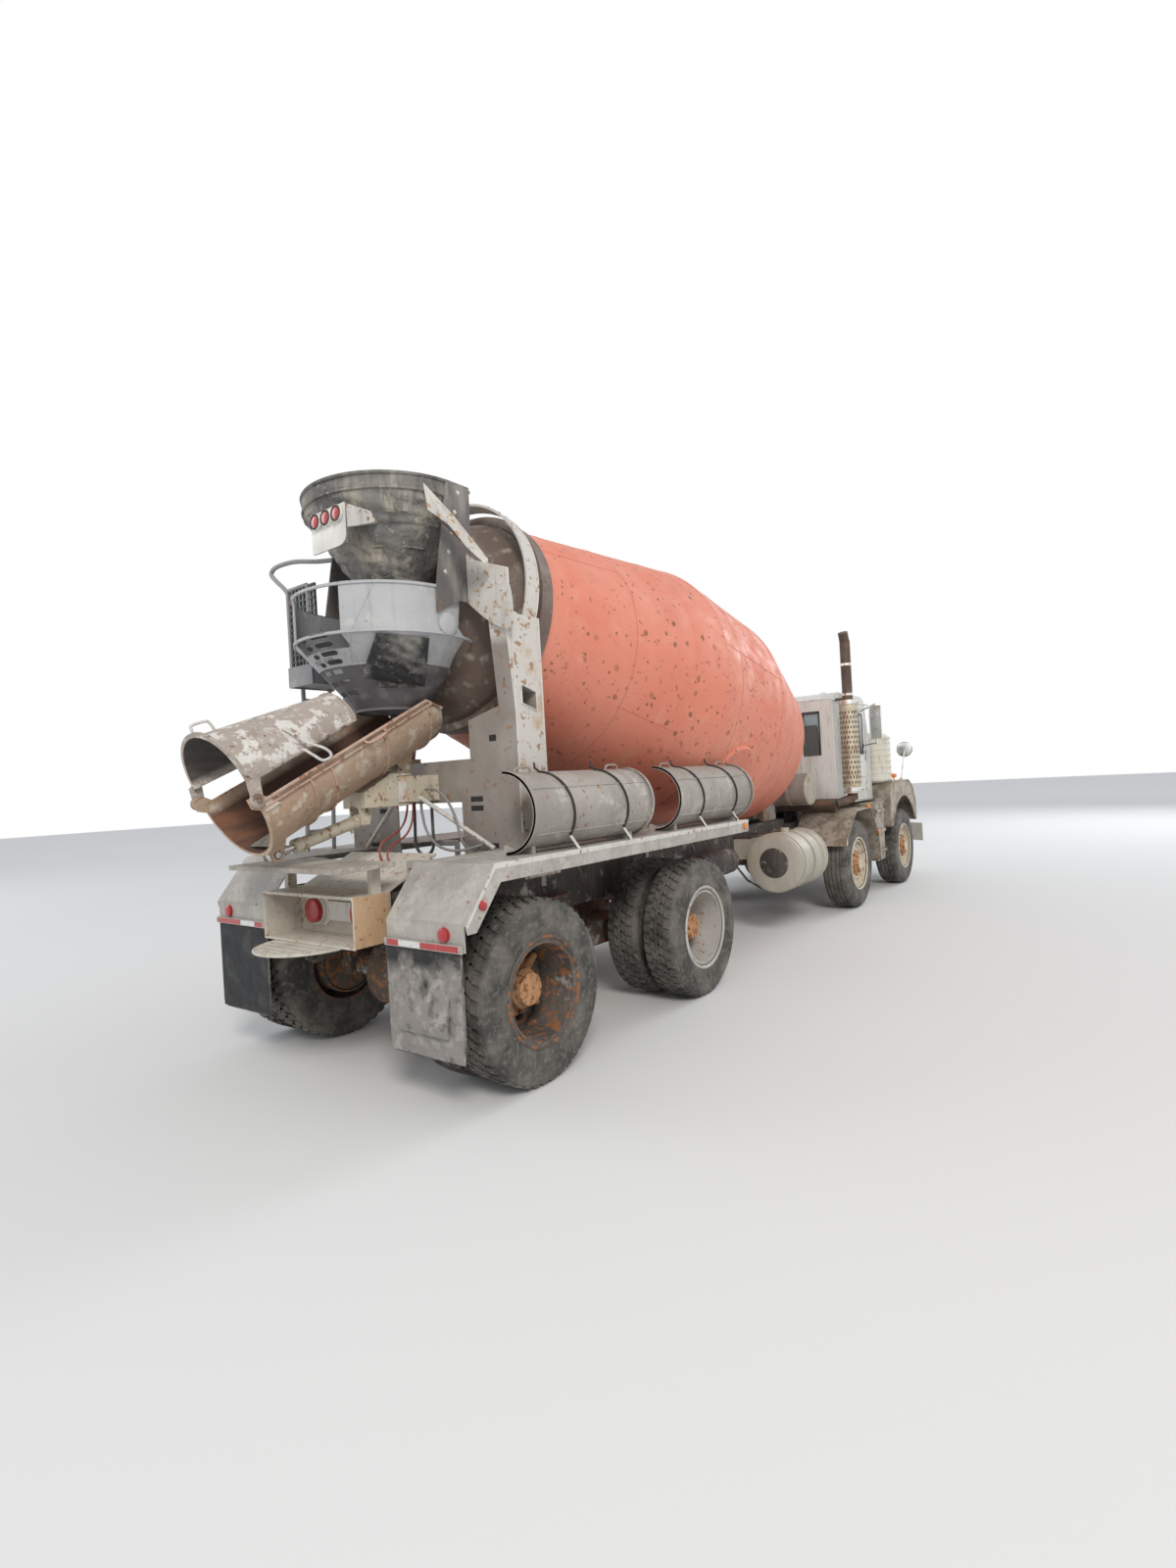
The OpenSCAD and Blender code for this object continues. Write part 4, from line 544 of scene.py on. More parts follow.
    def bolt_ring(self, centre, normal, ring, count, r, h, u=X, w=Z):
        for ray in rays(count, u, w):
            self.bolt(centre + ray * (ring / 1000), normal, r, h)

    def piece(self, name, look, body="chassis", bevel=0.0, angle=38):
        """An object of all that was built since the last one. Its slot holds its look."""
        bmesh.ops.recalc_face_normals(self.bm, faces=self.bm.faces[:])
        mesh = bpy.data.meshes.new(name)
        self.bm.to_mesh(mesh)
        self.bm.clear()
        mesh.polygons.foreach_set("use_smooth", [True] * len(mesh.polygons))
        mesh.set_sharp_from_angle(angle=math.radians(angle))
        mesh.materials.append(LOOKS[look])
        obj = link(bpy.data.objects.new(name, mesh))
        if bevel:
            mod = obj.modifiers.new("edges", "BEVEL")
            mod.width = bevel / 1000
            mod.segments = 2
            mod.limit_method = "ANGLE"
            mod.angle_limit = math.radians(40)
        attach(obj, body)
        return obj


def spline(points, per=8, closed=False):
    """Points of a smooth line through places."""
    n, out = len(points), []
    for i in range(n if closed else n - 1):
        a, b, c, d = (points[(i + k) % n if closed else min(n - 1, max(0, i + k))] for k in (-1, 0, 1, 2))
        for t in (j / per for j in range(per)):
            out.append(0.5 * ((2 * b) + (c - a) * t + (2 * a - 5 * b + 4 * c - d) * t * t
                              + (3 * b - a - 3 * c + d) * t ** 3))
    return out if closed else out + [points[-1].copy()]


f = Form()

# ---------------------------------------------------------------- hoses
# Each hose: radius in millimetres, real length in metres, look, and its route in part.scad's millimetres
BEAM_UNDER, LEG_FACE = 1622.7, 269.7
HOSES = {
    "hose_grey_upper": (9, 0.683, "grey_hose", [
        (150, -115.3, 1700), (150, -160, 1700), (150, -208, 1693), (149, -256, 1672), (148, -299, 1641),
        (146, -335, 1604), (143, -366, 1563), (140, -392, 1519), (136, -413, 1474), (133, -430, 1427),
        (135, -443, 1380), (147, -452, 1337), (178, -458, 1308), (225, -460, 1300), (LEG_FACE, -460, 1300)]),
    "hose_grey_lower": (9, 0.768, "grey_hose", [
        (130, -90, BEAM_UNDER), (130, -90, 1570), (128, -102, 1514), (124, -119, 1462), (120, -147, 1415),
        (115, -185, 1375), (110, -230, 1344), (106, -279, 1321), (105, -332, 1307), (107, -387, 1299),
        (115, -441, 1298), (133, -492, 1304), (166, -534, 1317), (215, -556, 1326), (LEG_FACE, -556, 1326)]),
    "hose_red_left": (7, 0.545, "red_hose", [
        (120, 40, BEAM_UNDER), (120, 40, 1586), (109, 37, 1546), (94, 34, 1510), (72, 29, 1478),
        (44, 23, 1452), (11, 15, 1432), (-24, 7, 1417), (-61, -1, 1405), (-97, -9, 1393),
        (-132, -18, 1379), (-164, -27, 1358), (-184, -35, 1326), (-184, -39, 1287), (-167, -40, 1254)]),
    "hose_red_right": (7, 0.576, "red_hose", [
        (120, -20, BEAM_UNDER), (120, -20, 1584), (111, -24, 1541), (98, -30, 1502), (78, -38, 1467),
        (51, -48, 1437), (19, -60, 1413), (-16, -72, 1396), (-54, -84, 1384), (-92, -97, 1373),
        (-130, -109, 1361), (-166, -121, 1345), (-196, -131, 1319), (-204, -138, 1281), (-187, -140, 1245)]),
    "hose_dark_loop": (11, 0.857, "hose_rubber", [
        (230, 100, BEAM_UNDER), (230, 100, 1560), (228, 100, 1480), (226, 100, 1410), (225, 100, 1350),
        (223, 87, 1300), (221, 50, 1263), (218, 0, 1250), (215, -50, 1263), (213, -87, 1300),
        (211, -100, 1350), (210, -100, 1410), (210, -100, 1480), (210, -100, 1560), (210, -100, BEAM_UNDER)]),
}
hose_pieces = []
for name, (radius, length, look, route) in HOSES.items():
    line = spline([at(*point) for point in route], 4)
    curve = bpy.data.curves.new(name, "CURVE")
    curve.dimensions = "3D"
    curve.bevel_depth = radius / 1000
    curve.bevel_resolution = 3
    curve.use_fill_caps = True
    run = curve.splines.new("POLY")
    run.points.add(len(line) - 1)
    for point, place in zip(run.points, line):
        point.co = (*place, 1)
    curve.materials.append(LOOKS[look])
    hose = link(bpy.data.objects.new(name, curve))
    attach(hose, "chassis")
    hose_pieces.append(hose)
for hose in hose_pieces:
    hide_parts("hoses")

# ---------------------------------------------------------------- tyres and wheels
# A tyre's side wall: radius, and how far in from its outer face
WALL = [(281, 17), (300, 15), (311, 9), (330, 8), (336, 5), (346, 7), (372, 2), (410, 0.5), (440, 1.5), (462, 5),
        (468, 3.5), (476, 4.5), (484, 9), (500, 15), (508, 27)]
RIBS = ((44, 522), (74, 524), (76, 512), (84, 512), (86, 524.5), (118, 525), (120, 512), (128, 512), (130, 525))
TWIN_SPANS, FRONT_SPAN = [(615, 885), (935, 1205)], (860, 1160)
# Blocks of a twin tyre's tread, by rows: from, to, phase, half a block's share of its pitch, how many
BLOCKS = [(27, 78, 0.0, 0.30, 44), (86, 120, 0.5, 0.36, 44), (124, 146, 0.0, 0.42, 44)]
RIM_SLOTS = {1: "front_rim_paint", 2: "front_rim_paint", 3: "third_rim_paint", 4: "rear_rim_paint"}


def tyre(centre, out, span, ribbed):
    low, high = span
    crown = [(510, low + 48), (511, (low + high) / 2), (510, high - 48)]
    if ribbed:
        crown = [(r, low + a) for a, r in RIBS] + [(r, high - a) for a, r in RIBS[::-1]]
    f.revolve(centre, out, [(r, low + d) for r, d in WALL] + crown + [(r, high - d) for r, d in WALL[::-1]], 72)
    if ribbed:
        return
    width = high - low
    mirrored = [(width - b, width - a, phase + 0.5, share, count) for a, b, phase, share, count in BLOCKS]
    for a, b, phase, share, count in BLOCKS + mirrored:
        skew = 0.18 if a < 60 or b > width - 60 else 0.32
        for i in range(count):
            top, foot = [], []
            for edge, lean, part in ((a, 0, -share), (a, 0, share), (b, skew, share), (b, skew, -share)):
                ray = ray_at(ROUND * (i + phase + part + lean) / count, X, Z)
                r = 518.6 if edge < 40 or edge > width - 40 else 524.6
                top.append(centre + ray * (r / 1000) + out * ((low + edge) / 1000))
                foot.append(centre + ray * 0.507 + out * ((low + edge) / 1000))
            f.lump(top, foot)


def nuts(centre, out, ring, y, count, r=17, h=26, phase=0.0):
    for ray in rays(count, phase=phase):
        place = centre + ray * (ring / 1000) + out * (y / 1000)
        f.revolve(place, out, [(0, 0), (r * 1.25, 0), (r * 1.15, 6), (0, 6)], 14)
        f.revolve(place, out, [(0, 4), (r, 4), (r, h - 3), (r - 3, h), (0, h)], 6)
        f.revolve(place, out, [(0, h - 2), (8, h - 2), (8, h + 12), (6, h + 14), (0, h + 14)], 10)


def moved(profile, h, r=0.0):
    """A profile moved along its axis, and out from it."""
    return [(a + r, b + h) for a, b in profile]


# Each kind of wheel: where its disc and its rims' lips stand, counted outwards from the truck's middle, then the
# profiles of a lip, of the dish that carries the clamps or of the disc's edge, and of the hub
TWIN = (924, (917, 1189), [(292, 0), (312, -2), (316, 6), (311, 13), (300, 12), (292, 4)],
        [(262, 11), (268, 20), (274, 226), (281, 263), (268, 263), (262, 226)],
        [(186, 1), (186, 12), (150, 26), (122, 60), (112, 112), (112, 118), (100, 128), (92, 150), (92, 164),
         (60, 168), (0, 168)])
FRONT = (1099, (872, 1146), [(293, 0), (311, -2), (316, 5), (311, 12), (300, 11), (293, 4)],
         [(150, -6), (176, 10), (184, 6), (182, -2)],
         [(112, -2), (112, 14), (104, 26), (84, 30), (80, 56), (76, 66), (60, 70), (0, 70)])
for axle, axle_x in AXLES.items():
    twin, slot = axle > 2, RIM_SLOTS[axle]
    disc, lips, lip, dish, hub = TWIN if twin else FRONT
    for side_name, side in SIDES.items():
        tag, body, out = f"{axle}_{side_name}", f"wheel_{axle}_{side_name}", Y * side
        centre = at(axle_x, 0, WHEEL_Z)
        for span in TWIN_SPANS if twin else [FRONT_SPAN]:
            tyre(centre, out, span, not twin)
        worn = f.piece("tyres_" + tag, "tyre_rubber", body=body, angle=30)
        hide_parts("tyre_" + tag)
        for y in lips:
            f.revolve(centre, out, moved(lip, y), 64, closed=True)
        f.revolve(centre, out, moved(dish, disc), 64 if twin else 48, closed=True)
        f.piece("rim_lips_" + tag, slot, body=body)
        f.revolve(centre, out, moved(hub, disc), 40)
        if twin:
            tip = centre + out * ((disc + 26) / 1000)
            for ray in rays(5, phase=0.5):
                f.rod(tip + ray * 0.105, tip + ray * 0.245, 34, 12, 22)
            nuts(centre, out, 162, disc + 20, 10)
            f.bolt_ring(centre + out * ((disc + 166) / 1000), out, 75, 8, 9, 8)
        else:
            nuts(centre, out, 138, disc, 10, 15, 22, 0.5)
            f.bolt_ring(centre + out * ((disc + 68) / 1000), out, 62, 6, 7, 5)
        f.piece("hub_" + tag, "hub_rust", body)

# ---------------------------------------------------------------- drum
# The drum's sections: distance along its axis, and radius
STATIONS = [(-520, 470), (-430, 490), (-90, 725), (0, 755), (1920, 1190), (3120, 1190), (4262, 945), (4500, 560)]


def drum_r(s):
    for (s0, r0), (s1, r1) in zip(STATIONS, STATIONS[1:]):
        if s <= s1:
            return r0 + (r1 - r0) * (s - s0) / (s1 - s0)
    return STATIONS[-1][1]


def drum_at(s, turn, lift=0.0):
    """A place on the drum's skin. Turn 0 is its top, and it goes round to the right side."""
    return DRUM_START + DRUM_AXIS * (s / 1000) + ray_at(turn, DRUM_UP, DRUM_RIGHT) * ((drum_r(s) + lift) / 1000)


for s in (300, 870, 1525, 1920, 2190, 3070, 3120, 3660, 4262):
    f.revolve(DRUM_START, DRUM_AXIS, moved([(-3, -7), (2.2, -3), (2.2, 3), (-3, 7)], s, drum_r(s)), 96)
for s0, s1, turn in ((60, 870, 0.9), (870, 1525, 2.1), (870, 1920, 0.2), (1920, 3120, 1.32), (1920, 3120, 3.5),
                     (2190, 3070, 5.1), (3120, 4262, 0.55), (3120, 4262, 2.7), (60, 870, 4.0), (1525, 1920, 5.6)):
    f.tube([drum_at(s0 + (s1 - s0) * i / 12, turn, 0.5) for i in range(13)], 3.4, 5)
f.piece("drum_seams", "drum_paint", body="drum", angle=60)
# Two round hand-hole covers with their bolts, on opposite sides of the barrel
for turn in (2.2, 5.34):
    place = drum_at(2500, turn)
    normal = (place - DRUM_START - DRUM_AXIS * 2.5).normalized()
    f.revolve(place, normal, [(0, -30), (260, -30), (262, 2), (250, 12), (0, 12)], 40)
    f.bolt_ring(place + normal * 0.011, normal, 225, 12, 10, 9, *across(normal))
f.piece("drum_covers", "drum_paint", body="drum")
f.revolve(DRUM_START, DRUM_AXIS, [(340, 4499), (340, 4520), (300, 4530), (200, 4530), (200, 4499)], 48)
f.bolt_ring(DRUM_START + DRUM_AXIS * 4.522, DRUM_AXIS, 318, 20, 11, 9, DRUM_UP, DRUM_RIGHT)
f.piece("drum_flange", "gearbox_paint", "drum")

# ---------------------------------------------------------------- gearbox and front pedestal
for s, r in ((4562, 304), (4700, 268), (4820, 268)):
    f.revolve(DRUM_START, DRUM_AXIS, moved([(-12, -9), (0, -9), (3, 0), (0, 9), (-12, 9)], s, r), 48)
for s, ring, r, h in ((4.572, 288, 11, 9), (4.83, 225, 9, 8)):
    f.bolt_ring(DRUM_START + DRUM_AXIS * s, DRUM_AXIS, ring, 16, r, h, DRUM_UP, DRUM_RIGHT)
f.piece("gearbox_bolts", "gearbox_paint")
f.revolve((5480, -760, 1450), -Y, [(190, -6), (191.5, 0), (182, 14), (120, 30), (0, 37)], 40)
for y in (-560, -330):
    f.band((5480, 0, 1450), Y, 190, 193, y, y + 35, 40)
f.bolts((5400, -335, 1640), (5200, -335, 1640), 3, -Y)
f.piece("water_tank_ends", "gearbox_paint")
for _ in range(60):
    y, x, size = random.uniform(-320, 320), random.uniform(5130, 5420), random.uniform(18, 60)
    base = at(x, y, 1163 if random.random() < 0.4 else 1216)
    f.revolve(base, Z + X * random.uniform(-0.2, 0.2),
              [(size, -4), (size * 0.9, size * 0.25), (size * 0.5, size * 0.5), (0, size * 0.55)], 9)
f.piece("gearbox_crust", "gearbox_paint", angle=70)

# ---------------------------------------------------------------- rear end: hopper, guard, collector
PANEL_X, LAMP_ROW = -484, (-220, -115, -10)
SMALL_LENS = [(37.5, -2), (36, 3), (24, 7), (0, 9)]
f.box((PANEL_X, -480.2), (-284, 50), (3290, 3396))
f.prism([(PANEL_X, y, z) for y, z in ((50, 3290), (-284, 3290), (-284, 3205), (-272, 3178), (-246, 3160),
                                      (-214, 3154), (50, 3154))], X * 0.0038)
for y in LAMP_ROW:
    f.revolve((PANEL_X, y, 3340), -X, [(39, 0), (50, 0), (52, 8), (48, 19), (39.5, 19)], 32)
f.piece("lamp_panel", "lamp_surround", bevel=1.5)
for y in LAMP_ROW:
    f.revolve((-499, y, 3340), -X, [(35.5, 0), (48, 0), (46, 6), (38, 8), (35.5, 4)], 32, closed=True)
f.piece("lamp_rings", "seal_rubber")
for y in LAMP_ROW:
    f.revolve((-500.2, y, 3340), -X, SMALL_LENS, 32)
for y in (-1060, 1060):
    f.revolve((-615, y, 952), -X, SMALL_LENS, 32)
for y in (-230, 230):
    f.revolve((-515.6, y, 985), -X, [(74.5, -2), (72, 4), (50, 11), (0, 15)], 40)
f.piece("lamp_lenses", "red_lens")
for inner, y in ((-296, (-279, -276.2)), (-380, (42.2, 45))):
    f.side_plate([(-469, 3252), (-469, 3391), (inner, 3391), (inner + 46, 3336)], y)
f.box((-469, -330), (-276, -180), (3388, 3393))
f.piece("lamp_gussets", "white_edge", bevel=1)

# The funnel: its axis, its flat front, and its radius below and above its slope
HOPPER_X, HOPPER_FRONT, HOPPER_R, HOPPER_SLOPE = 100, 290, (235, 559.5), (3040, 3505)


def hopper_r(z):
    (r0, r1), (z0, z1) = HOPPER_R, HOPPER_SLOPE
    return r0 + (r1 - r0) * min(1.0, max(0.0, (z - z0) / (z1 - z0)))


# The rim is a bent lip, and ribs run round the funnel at the foot of its band and halfway down
for z, lift, r in ((3592, 4, 12), (3505, 2, 9), (3215, 2, 8)):
    r_here = hopper_r(z) + lift
    # The turn, from straight ahead, at which the funnel's wall meets its flat front
    end = math.acos(min(1.0, (HOPPER_FRONT - HOPPER_X) / r_here)) if z > 3400 else 1.75
    f.tube([at(HOPPER_X + r_here * math.cos(a), r_here * math.sin(a), z)
            for a in (end + (ROUND - 2 * end) * i / 48 for i in range(49))], r)
half = math.sqrt(HOPPER_R[1] ** 2 - (HOPPER_FRONT - HOPPER_X) ** 2)
f.tube([(HOPPER_FRONT, -half, 3592), (HOPPER_FRONT, half, 3592)], 11)
f.piece("hopper_ribs", "crusted_steel", angle=60)


def crust_over(name, surface, size, look, slot, thick, cell, seed, share=0.35, body="chassis"):
    """Lumps of set concrete on a surface, which gives a place and its normal. They stay thin at the edges."""
    rng = random.Random(seed)
    nu, nv = (max(4, int(length / cell)) for length in size)
    waves = [(rng.uniform(2, 13), rng.uniform(2, 13), rng.uniform(0, 6.28), rng.uniform(0.5, 1)) for _ in range(9)]
    grid = []
    for i in range(nu + 1):
        row = []
        for j in range(nv + 1):
            u, v = i / nu, j / nv
            p, normal = surface(u, v)
            edge = min(1, 8 * min(u, 1 - u, v, 1 - v))
            h = sum(k * math.sin(fu * u * 3 + fv * v * 3 + ph) for fu, fv, ph, k in waves) / 4
            h = max(0.0, h + share) * edge
            h = thick[0] * edge + (thick[1] - thick[0]) * min(1.0, h) * rng.uniform(0.75, 1.0)
            row.append(p + normal * (h / 1000))
        grid.append(f.verts(row))
    for a, b in zip(grid, grid[1:]):
        for j in range(nv):
            f.face([a[j], b[j], b[j + 1], a[j + 1]])
    f.piece(name, look, body, angle=75)


def crust(name, corners, *how, **more):
    """Lumps on a flat face with four corners."""
    a, b, c, d = (f.to(corner) for corner in corners)
    normal = (b - a).cross(d - a).normalized()
    crust_over(name, lambda u, v: ((a * (1 - u) + b * u) * (1 - v) + (d * (1 - u) + c * u) * v, normal),
               ((b - a).length, (d - a).length), *how, **more)


def hopper_wall(low, high, turn, inside=False):
    """The funnel's wall between two heights and two turns."""
    def surface(u, v):
        z = low + (high - low) * v
        ray = ray_at(turn[0] + (turn[1] - turn[0]) * u)
        lean = 0.572 if z < HOPPER_SLOPE[1] else 0.0
        out = (ray * math.sqrt(1 - lean * lean) - Z * lean) * (-1 if inside else 1)
        return at(HOPPER_X, 0, z) + ray * ((hopper_r(z) - (9 if inside else 0)) / 1000), out
    return surface


LEAN_SHARE = 0.82  # a height on the funnel's slope as a share of the length along it
for k, (low, high, start, thick) in enumerate((
        (3050, 3330, 1.85, 20), (3330, 3500, 1.3, 24), (3508, 3590, 1.28, 12))):
    size = (ROUND - 2 * start) * hopper_r(high) / 1000, (high - low) / 1000 / LEAN_SHARE
    crust_over(f"hopper_crust_{k}", hopper_wall(low, high, (start, ROUND - start)), size, "crusted_steel", None,
               (1, thick), 0.02, 3 + k)
crust_over("hopper_crust_inside", hopper_wall(3300, 3590, (ROUND - 1.4, 1.4), True), (1.9, 0.4),
           "crusted_steel", None, (1, 26), 0.03, 9)

# Guard of square holes, with the bent handrail and the platform's edges
for i in range(8):
    y = 560 + i * 300 / 7
    f.box((-152, -136), (y - 8, y + 8), (2600, 3150))
for i in range(13):
    z = 2600 + i * 550 / 12
    f.box((-151, -137), (552, 868), (z - 7, z + 7))
f.piece("guard_lattice", "guard_paint")
for x, y, z in (((-150, 200), (620, 900), (2480, 2600)), ((-158, 208), (612, 620), (2470, 2612)),
                ((-158, 208), (900, 908), (2470, 2612)), ((-158, -150), (612, 908), (2470, 2612)),
                ((199, 227.5), (720, 845), (2500, 2560)), ((208, 216), (560, 640), (2480, 2560))):
    f.box(x, y, z)
for i in range(9):
    f.box((-140 + i * 38, -128 + i * 38), (624, 896), (2599, 2606))
platform = f.piece("platform", "ladder_paint", bevel=2)
# One post bends outwards at its top and comes back round to the bracket plate
f.tube([(-80, 880, 2560), (-80, 880, 2860), (-80, 900, 3020), (-85, 985, 3180), (-90, 1110, 3290),
        (-90, 1165, 3350), (-80, 1110, 3392), (-50, 930, 3398), (0, 720, 3365), (30, 574, 3350)], 16, 12, smooth=6)
f.tube([(180, 880, 2560), (180, 880, 2930)], 16, 12)
f.tube([(-80, 880, 2900), (180, 880, 2900)], 11, 10)
for y in (640, 880):
    f.rod((-148, y, 2601), (-148, y, 3160), 12)
f.tube([(-148, 640, 3160), (-148, 880, 3160)], 12, 10)
# The ladder below the platform goes down to the fender
for x in (-60, 160):
    f.tube([(x, 892, 2475), (x, 892, 2200), (x, 930, 1600), (x, 950, 1292)], 15, 10)
for z in range(2390, 1439, -190):
    y = 892 if z > 2200 else 892 + (2200 - z) * 0.064
    f.tube([(-60, y, z), (160, y, z)], 12, 10)
f.piece("handrail", "ladder_paint")
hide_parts("access_ladder")

# The collector: its foot's place, and its outside's radius at a height
CONE_X, CONE_Z, CONE_R = -10, 2215, 560
CONE = at(CONE_X, 0, CONE_Z)


def cone_r(z):
    return 200 + 360 * (z - CONE_Z) / 420


def cone_at(z, angle, lift=0.0):
    """A place on the collector's outside. The angle goes from its rear round to the right side."""
    r = min(CONE_R, cone_r(z)) + lift
    a = math.pi + math.radians(angle)
    return at(CONE_X + r * math.cos(a), r * math.sin(a), z)


for z, r, turn in ((712, CONE_R, (0.25, 0.75)), (430, CONE_R, (0.0, 1.0)), (8, 204, (0.0, 1.0))):
    f.revolve(CONE, Z, moved([(0, -14), (10, -12), (10, 4), (0, 6)], z, r), 64, turn)
f.revolve(at(10, -548, 2700), -Y, [(70, 0), (70, 26), (62, 34), (30, 38), (0, 38)], 32)
f.piece("collector_rims", "collector_paint")
# The collector's slots are black strips laid just outside its sheet: painted shade where the openings are
# Two columns of slots: turn and half width in degrees, and the lowest slot's height
for centre, half_width, low_z in ((-9, 3.6, 2492), (7, 8, 2496)):
    for z in range(low_z, low_z + 139, 46):
        for low, high, less in ((-12, -7, 1.1), (-7, 7, 0), (7, 12, 1.1)):
            turn = tuple(0.5 + (centre + (half_width - less) * t) / 360 for t in (-1, 1))
            f.revolve(CONE, Z, [(cone_r(z + h) + 2.2, z + h - CONE_Z) for h in (low, high)], 8, turn)
f.piece("collector_slot_shade", "seal_rubber")
f.tube([cone_at(2915 - 440 * i / 16, 46 - 24 * i / 16, 0.5) for i in range(17)], 3.5, 6)
f.tube([cone_at(2470, -60 + 8 * i, 1) for i in range(21)], 5, 6)
f.piece("collector_seams", "collector_paint")
ray = ray_at(math.radians(-118))
side_ray = Vector((-ray.y, ray.x, 0))
base, top = CONE + Z * 0.120 + ray * 0.3185, CONE + Z * 0.392 + ray * 0.5505
crust("collector_flap", [base + side_ray * a + (top - base) * b for a, b in
                         ((-0.23, 0.18), (0.162, 0.01), (0.152, 0.98), (-0.16, 1.04))],
      "flap_crust", "flap_rubber", (4, 24), 0.012, 21, 0.5)

# Mudflaps: the right one is caked with concrete and has a patch folded over it
FLAP_X = -612
for side_name, look, lumps, y0, y1 in (
        ("right", "caked_flap", 22, -1176, -604), ("left", "left_flap", 4, 604, 1176)):
    corners = [(FLAP_X, y, z) for y, z in ((y1, 306), (y0, 306), (y0, 890), (y1, 890))]
    crust("mudflap_skin_" + side_name, corners, look, "flap_rubber", (1, lumps), 0.02, 31 + SIDES[side_name], 0.3)
f.side_plate([(-616, 640), (-640, 560), (-652, 470), (-640, 430), (-628, 440), (-634, 470), (-622, 560),
              (-613, 640)], (-1085, -720))
f.piece("mudflap_patch", "caked_flap", bevel=4)
for y0, y1 in ((-1200, -600), (600, 1200)):
    f.box((-622, FLAP_X), (y0, y1), (868, 908))
    f.bolts((-622, y0 + 12, 888), (-622, y1 - 12, 888), 2, -X, 8, 6)
f.piece("mudflap_bars", "fender_paint", bevel=1.5)
for out in f.sides():
    for y in ((625, 715), (893, 1010), (1015, 1176)):
        f.box((-623.4, -621.9), y, (873, 904))
f.piece("tape_red", "red_tape")
for out in f.sides():
    f.box((-623.3, -621.9), (720, 888), (873, 904))
f.piece("tape_white", "white_tape")

# ---------------------------------------------------------------- pedestal, beam and deck
for z in (1621, 1786):
    f.box((20, 283.5), (-117, 117), (z, z + 6))
for out in f.sides():
    f.side_plate([(0, 1626), (269, 1626), (269, 1787), (0, 1787)], (115.2, 117))
f.revolve((0, 0, 1790), Z, [(50, 0), (92, 0), (92, 14), (84, 20), (50, 20)], 40)
f.band((0, 0, 1621), -Z, 50, 92, 0, 12, 40)
f.bolt_ring(at(0, 0, 1809), Z, 72, 8, 7, 6, X, Y)
f.piece("beam_skin", "swing_paint", bevel=2)
WING = spline([Vector((y, z, 0)) for y, z in ((483, 3225), (640, 3115), (880, 2945), (930, 2870), (938, 2700),
                                              (915, 2655), (850, 2655), (740, 2715), (620, 2810), (510, 2920),
                                              (484, 3020))], 5, closed=True)
for out in f.sides():
    f.prism([(193, p.x, p.y) for p in WING], X * 0.006)
    f.bolts((193, 640, 3040), (193, 860, 2890), 4, -X, 10, 8)
    f.bolts((193, 800, 2760), (193, 900, 2740), 2, -X, 12, 9)
# A tapered arm goes from the funnel's rim to the wing's top edge
f.prism([(-133, -580, 3519), (-20, -700, 3325), (141, -810, 3072), (139, -812, 3020), (-27, -800, 3110),
         (-80, -720, 3245), (-108, -580, 3361)], Vector((-0.012, -0.008, 0)))
f.piece("wing_sheets", "wing_white", bevel=2)
LEG_Y, BRACKET_Y = 852, 572.3
for out in f.sides():
    # White worn edges on the wing plates, the bracket plates and the box legs
    f.tube([(206, 530, 3150), (206, 530, 2900), (206, 905, 2680), (206, 905, 3010)], 6, 6, closed=True)
    f.bolts((198, 600, 3040), (198, 840, 2930), 4, -X, 10, 8)
    f.bolts((10, BRACKET_Y, 3020), (150, BRACKET_Y, 3540), 5, out, 10, 8)
    for x in (270, 530):
        f.box((x - 5, x + 5), (850, 856), (1400, 2758))
    f.tube([(330, LEG_Y, 2200), (470, LEG_Y, 2160), (470, LEG_Y, 2280), (330, LEG_Y, 2320)], 6, 6, closed=True)
    f.bolts((300, LEG_Y, 1160), (580, LEG_Y, 1160), 5, out, 13, 10)
f.piece("pedestal_edges", "white_edge")
ARCH_TURN = (0.75 - 104 / 360, 0.75 + 104 / 360)
for s in (-231, -118):
    f.band(DRUM_START, DRUM_AXIS, 811, 816, s, s + 9, 64, turn=ARCH_TURN, closed=True)
for i in range(-8, 9):
    out = ray_at(i * 0.21, DRUM_UP, DRUM_RIGHT)
    for s in (-0.205, -0.135):
        f.bolt(DRUM_START + DRUM_AXIS * s + out * 0.812, out, 10, 8)
f.piece("arch_edges", "white_edge")
# Black plates on the rear faces of the legs: painted shade where the ports open into the legs
for out in f.sides():
    for y, z, w, h in ((470, 1600, 110, 34), (470, 1540, 110, 34), (640, 1980, 60, 40), (600, 1300, 90, 30)):
        f.box((268.6, 269.9), (y - w / 2, y + w / 2), (z, z + h))
f.piece("portal_port_shade", "seal_rubber")
for out in f.sides():
    f.prism([(285, 620, 1330), (285, 560, 1330), (285, 350, 1106), (285, 430, 1106)], X * 0.012)
    f.tube([(100, 112, 1650), (230, 640, 1302)], 15, 10)
f.piece("portal_struts", "white_edge", bevel=1.5)
for i in range(4):
    for j in range(4):
        x0, y0 = -861.5 + j * 98, -541.5 + i * 271
        f.box((x0, x0 + 96.5), (y0, y0 + 270), (1273.5, 1301.5 + (i * 7 + j * 3) % 3))
f.piece("plank", "plank_wood", bevel=3)
for y in (-230, 230):
    f.prism([(-456, y + a * 108, 985 + b * 92) for a, b in
             ((-1, -0.7), (-0.7, -1), (0.7, -1), (1, -0.7), (1, 0.7), (0.7, 1), (-0.7, 1), (-1, 0.7))], X * -0.014)
    f.revolve((-470, y, 985), -X, [(76, 0), (92, 0), (92, 12), (86, 20), (76.5, 20)], 40)
f.piece("lamp_surrounds", "lamp_surround", bevel=2)
f.box((-475, -471), (-112, 112), (930, 1045))
f.surround(-476, -112, -476, 112, 930, 1045, 3)
f.bolts((-475, -80, 1030), (-475, 80, 1030), 2, -X, 5, 4)
f.box((-471, -446), (-20, 20), (960, 1000))
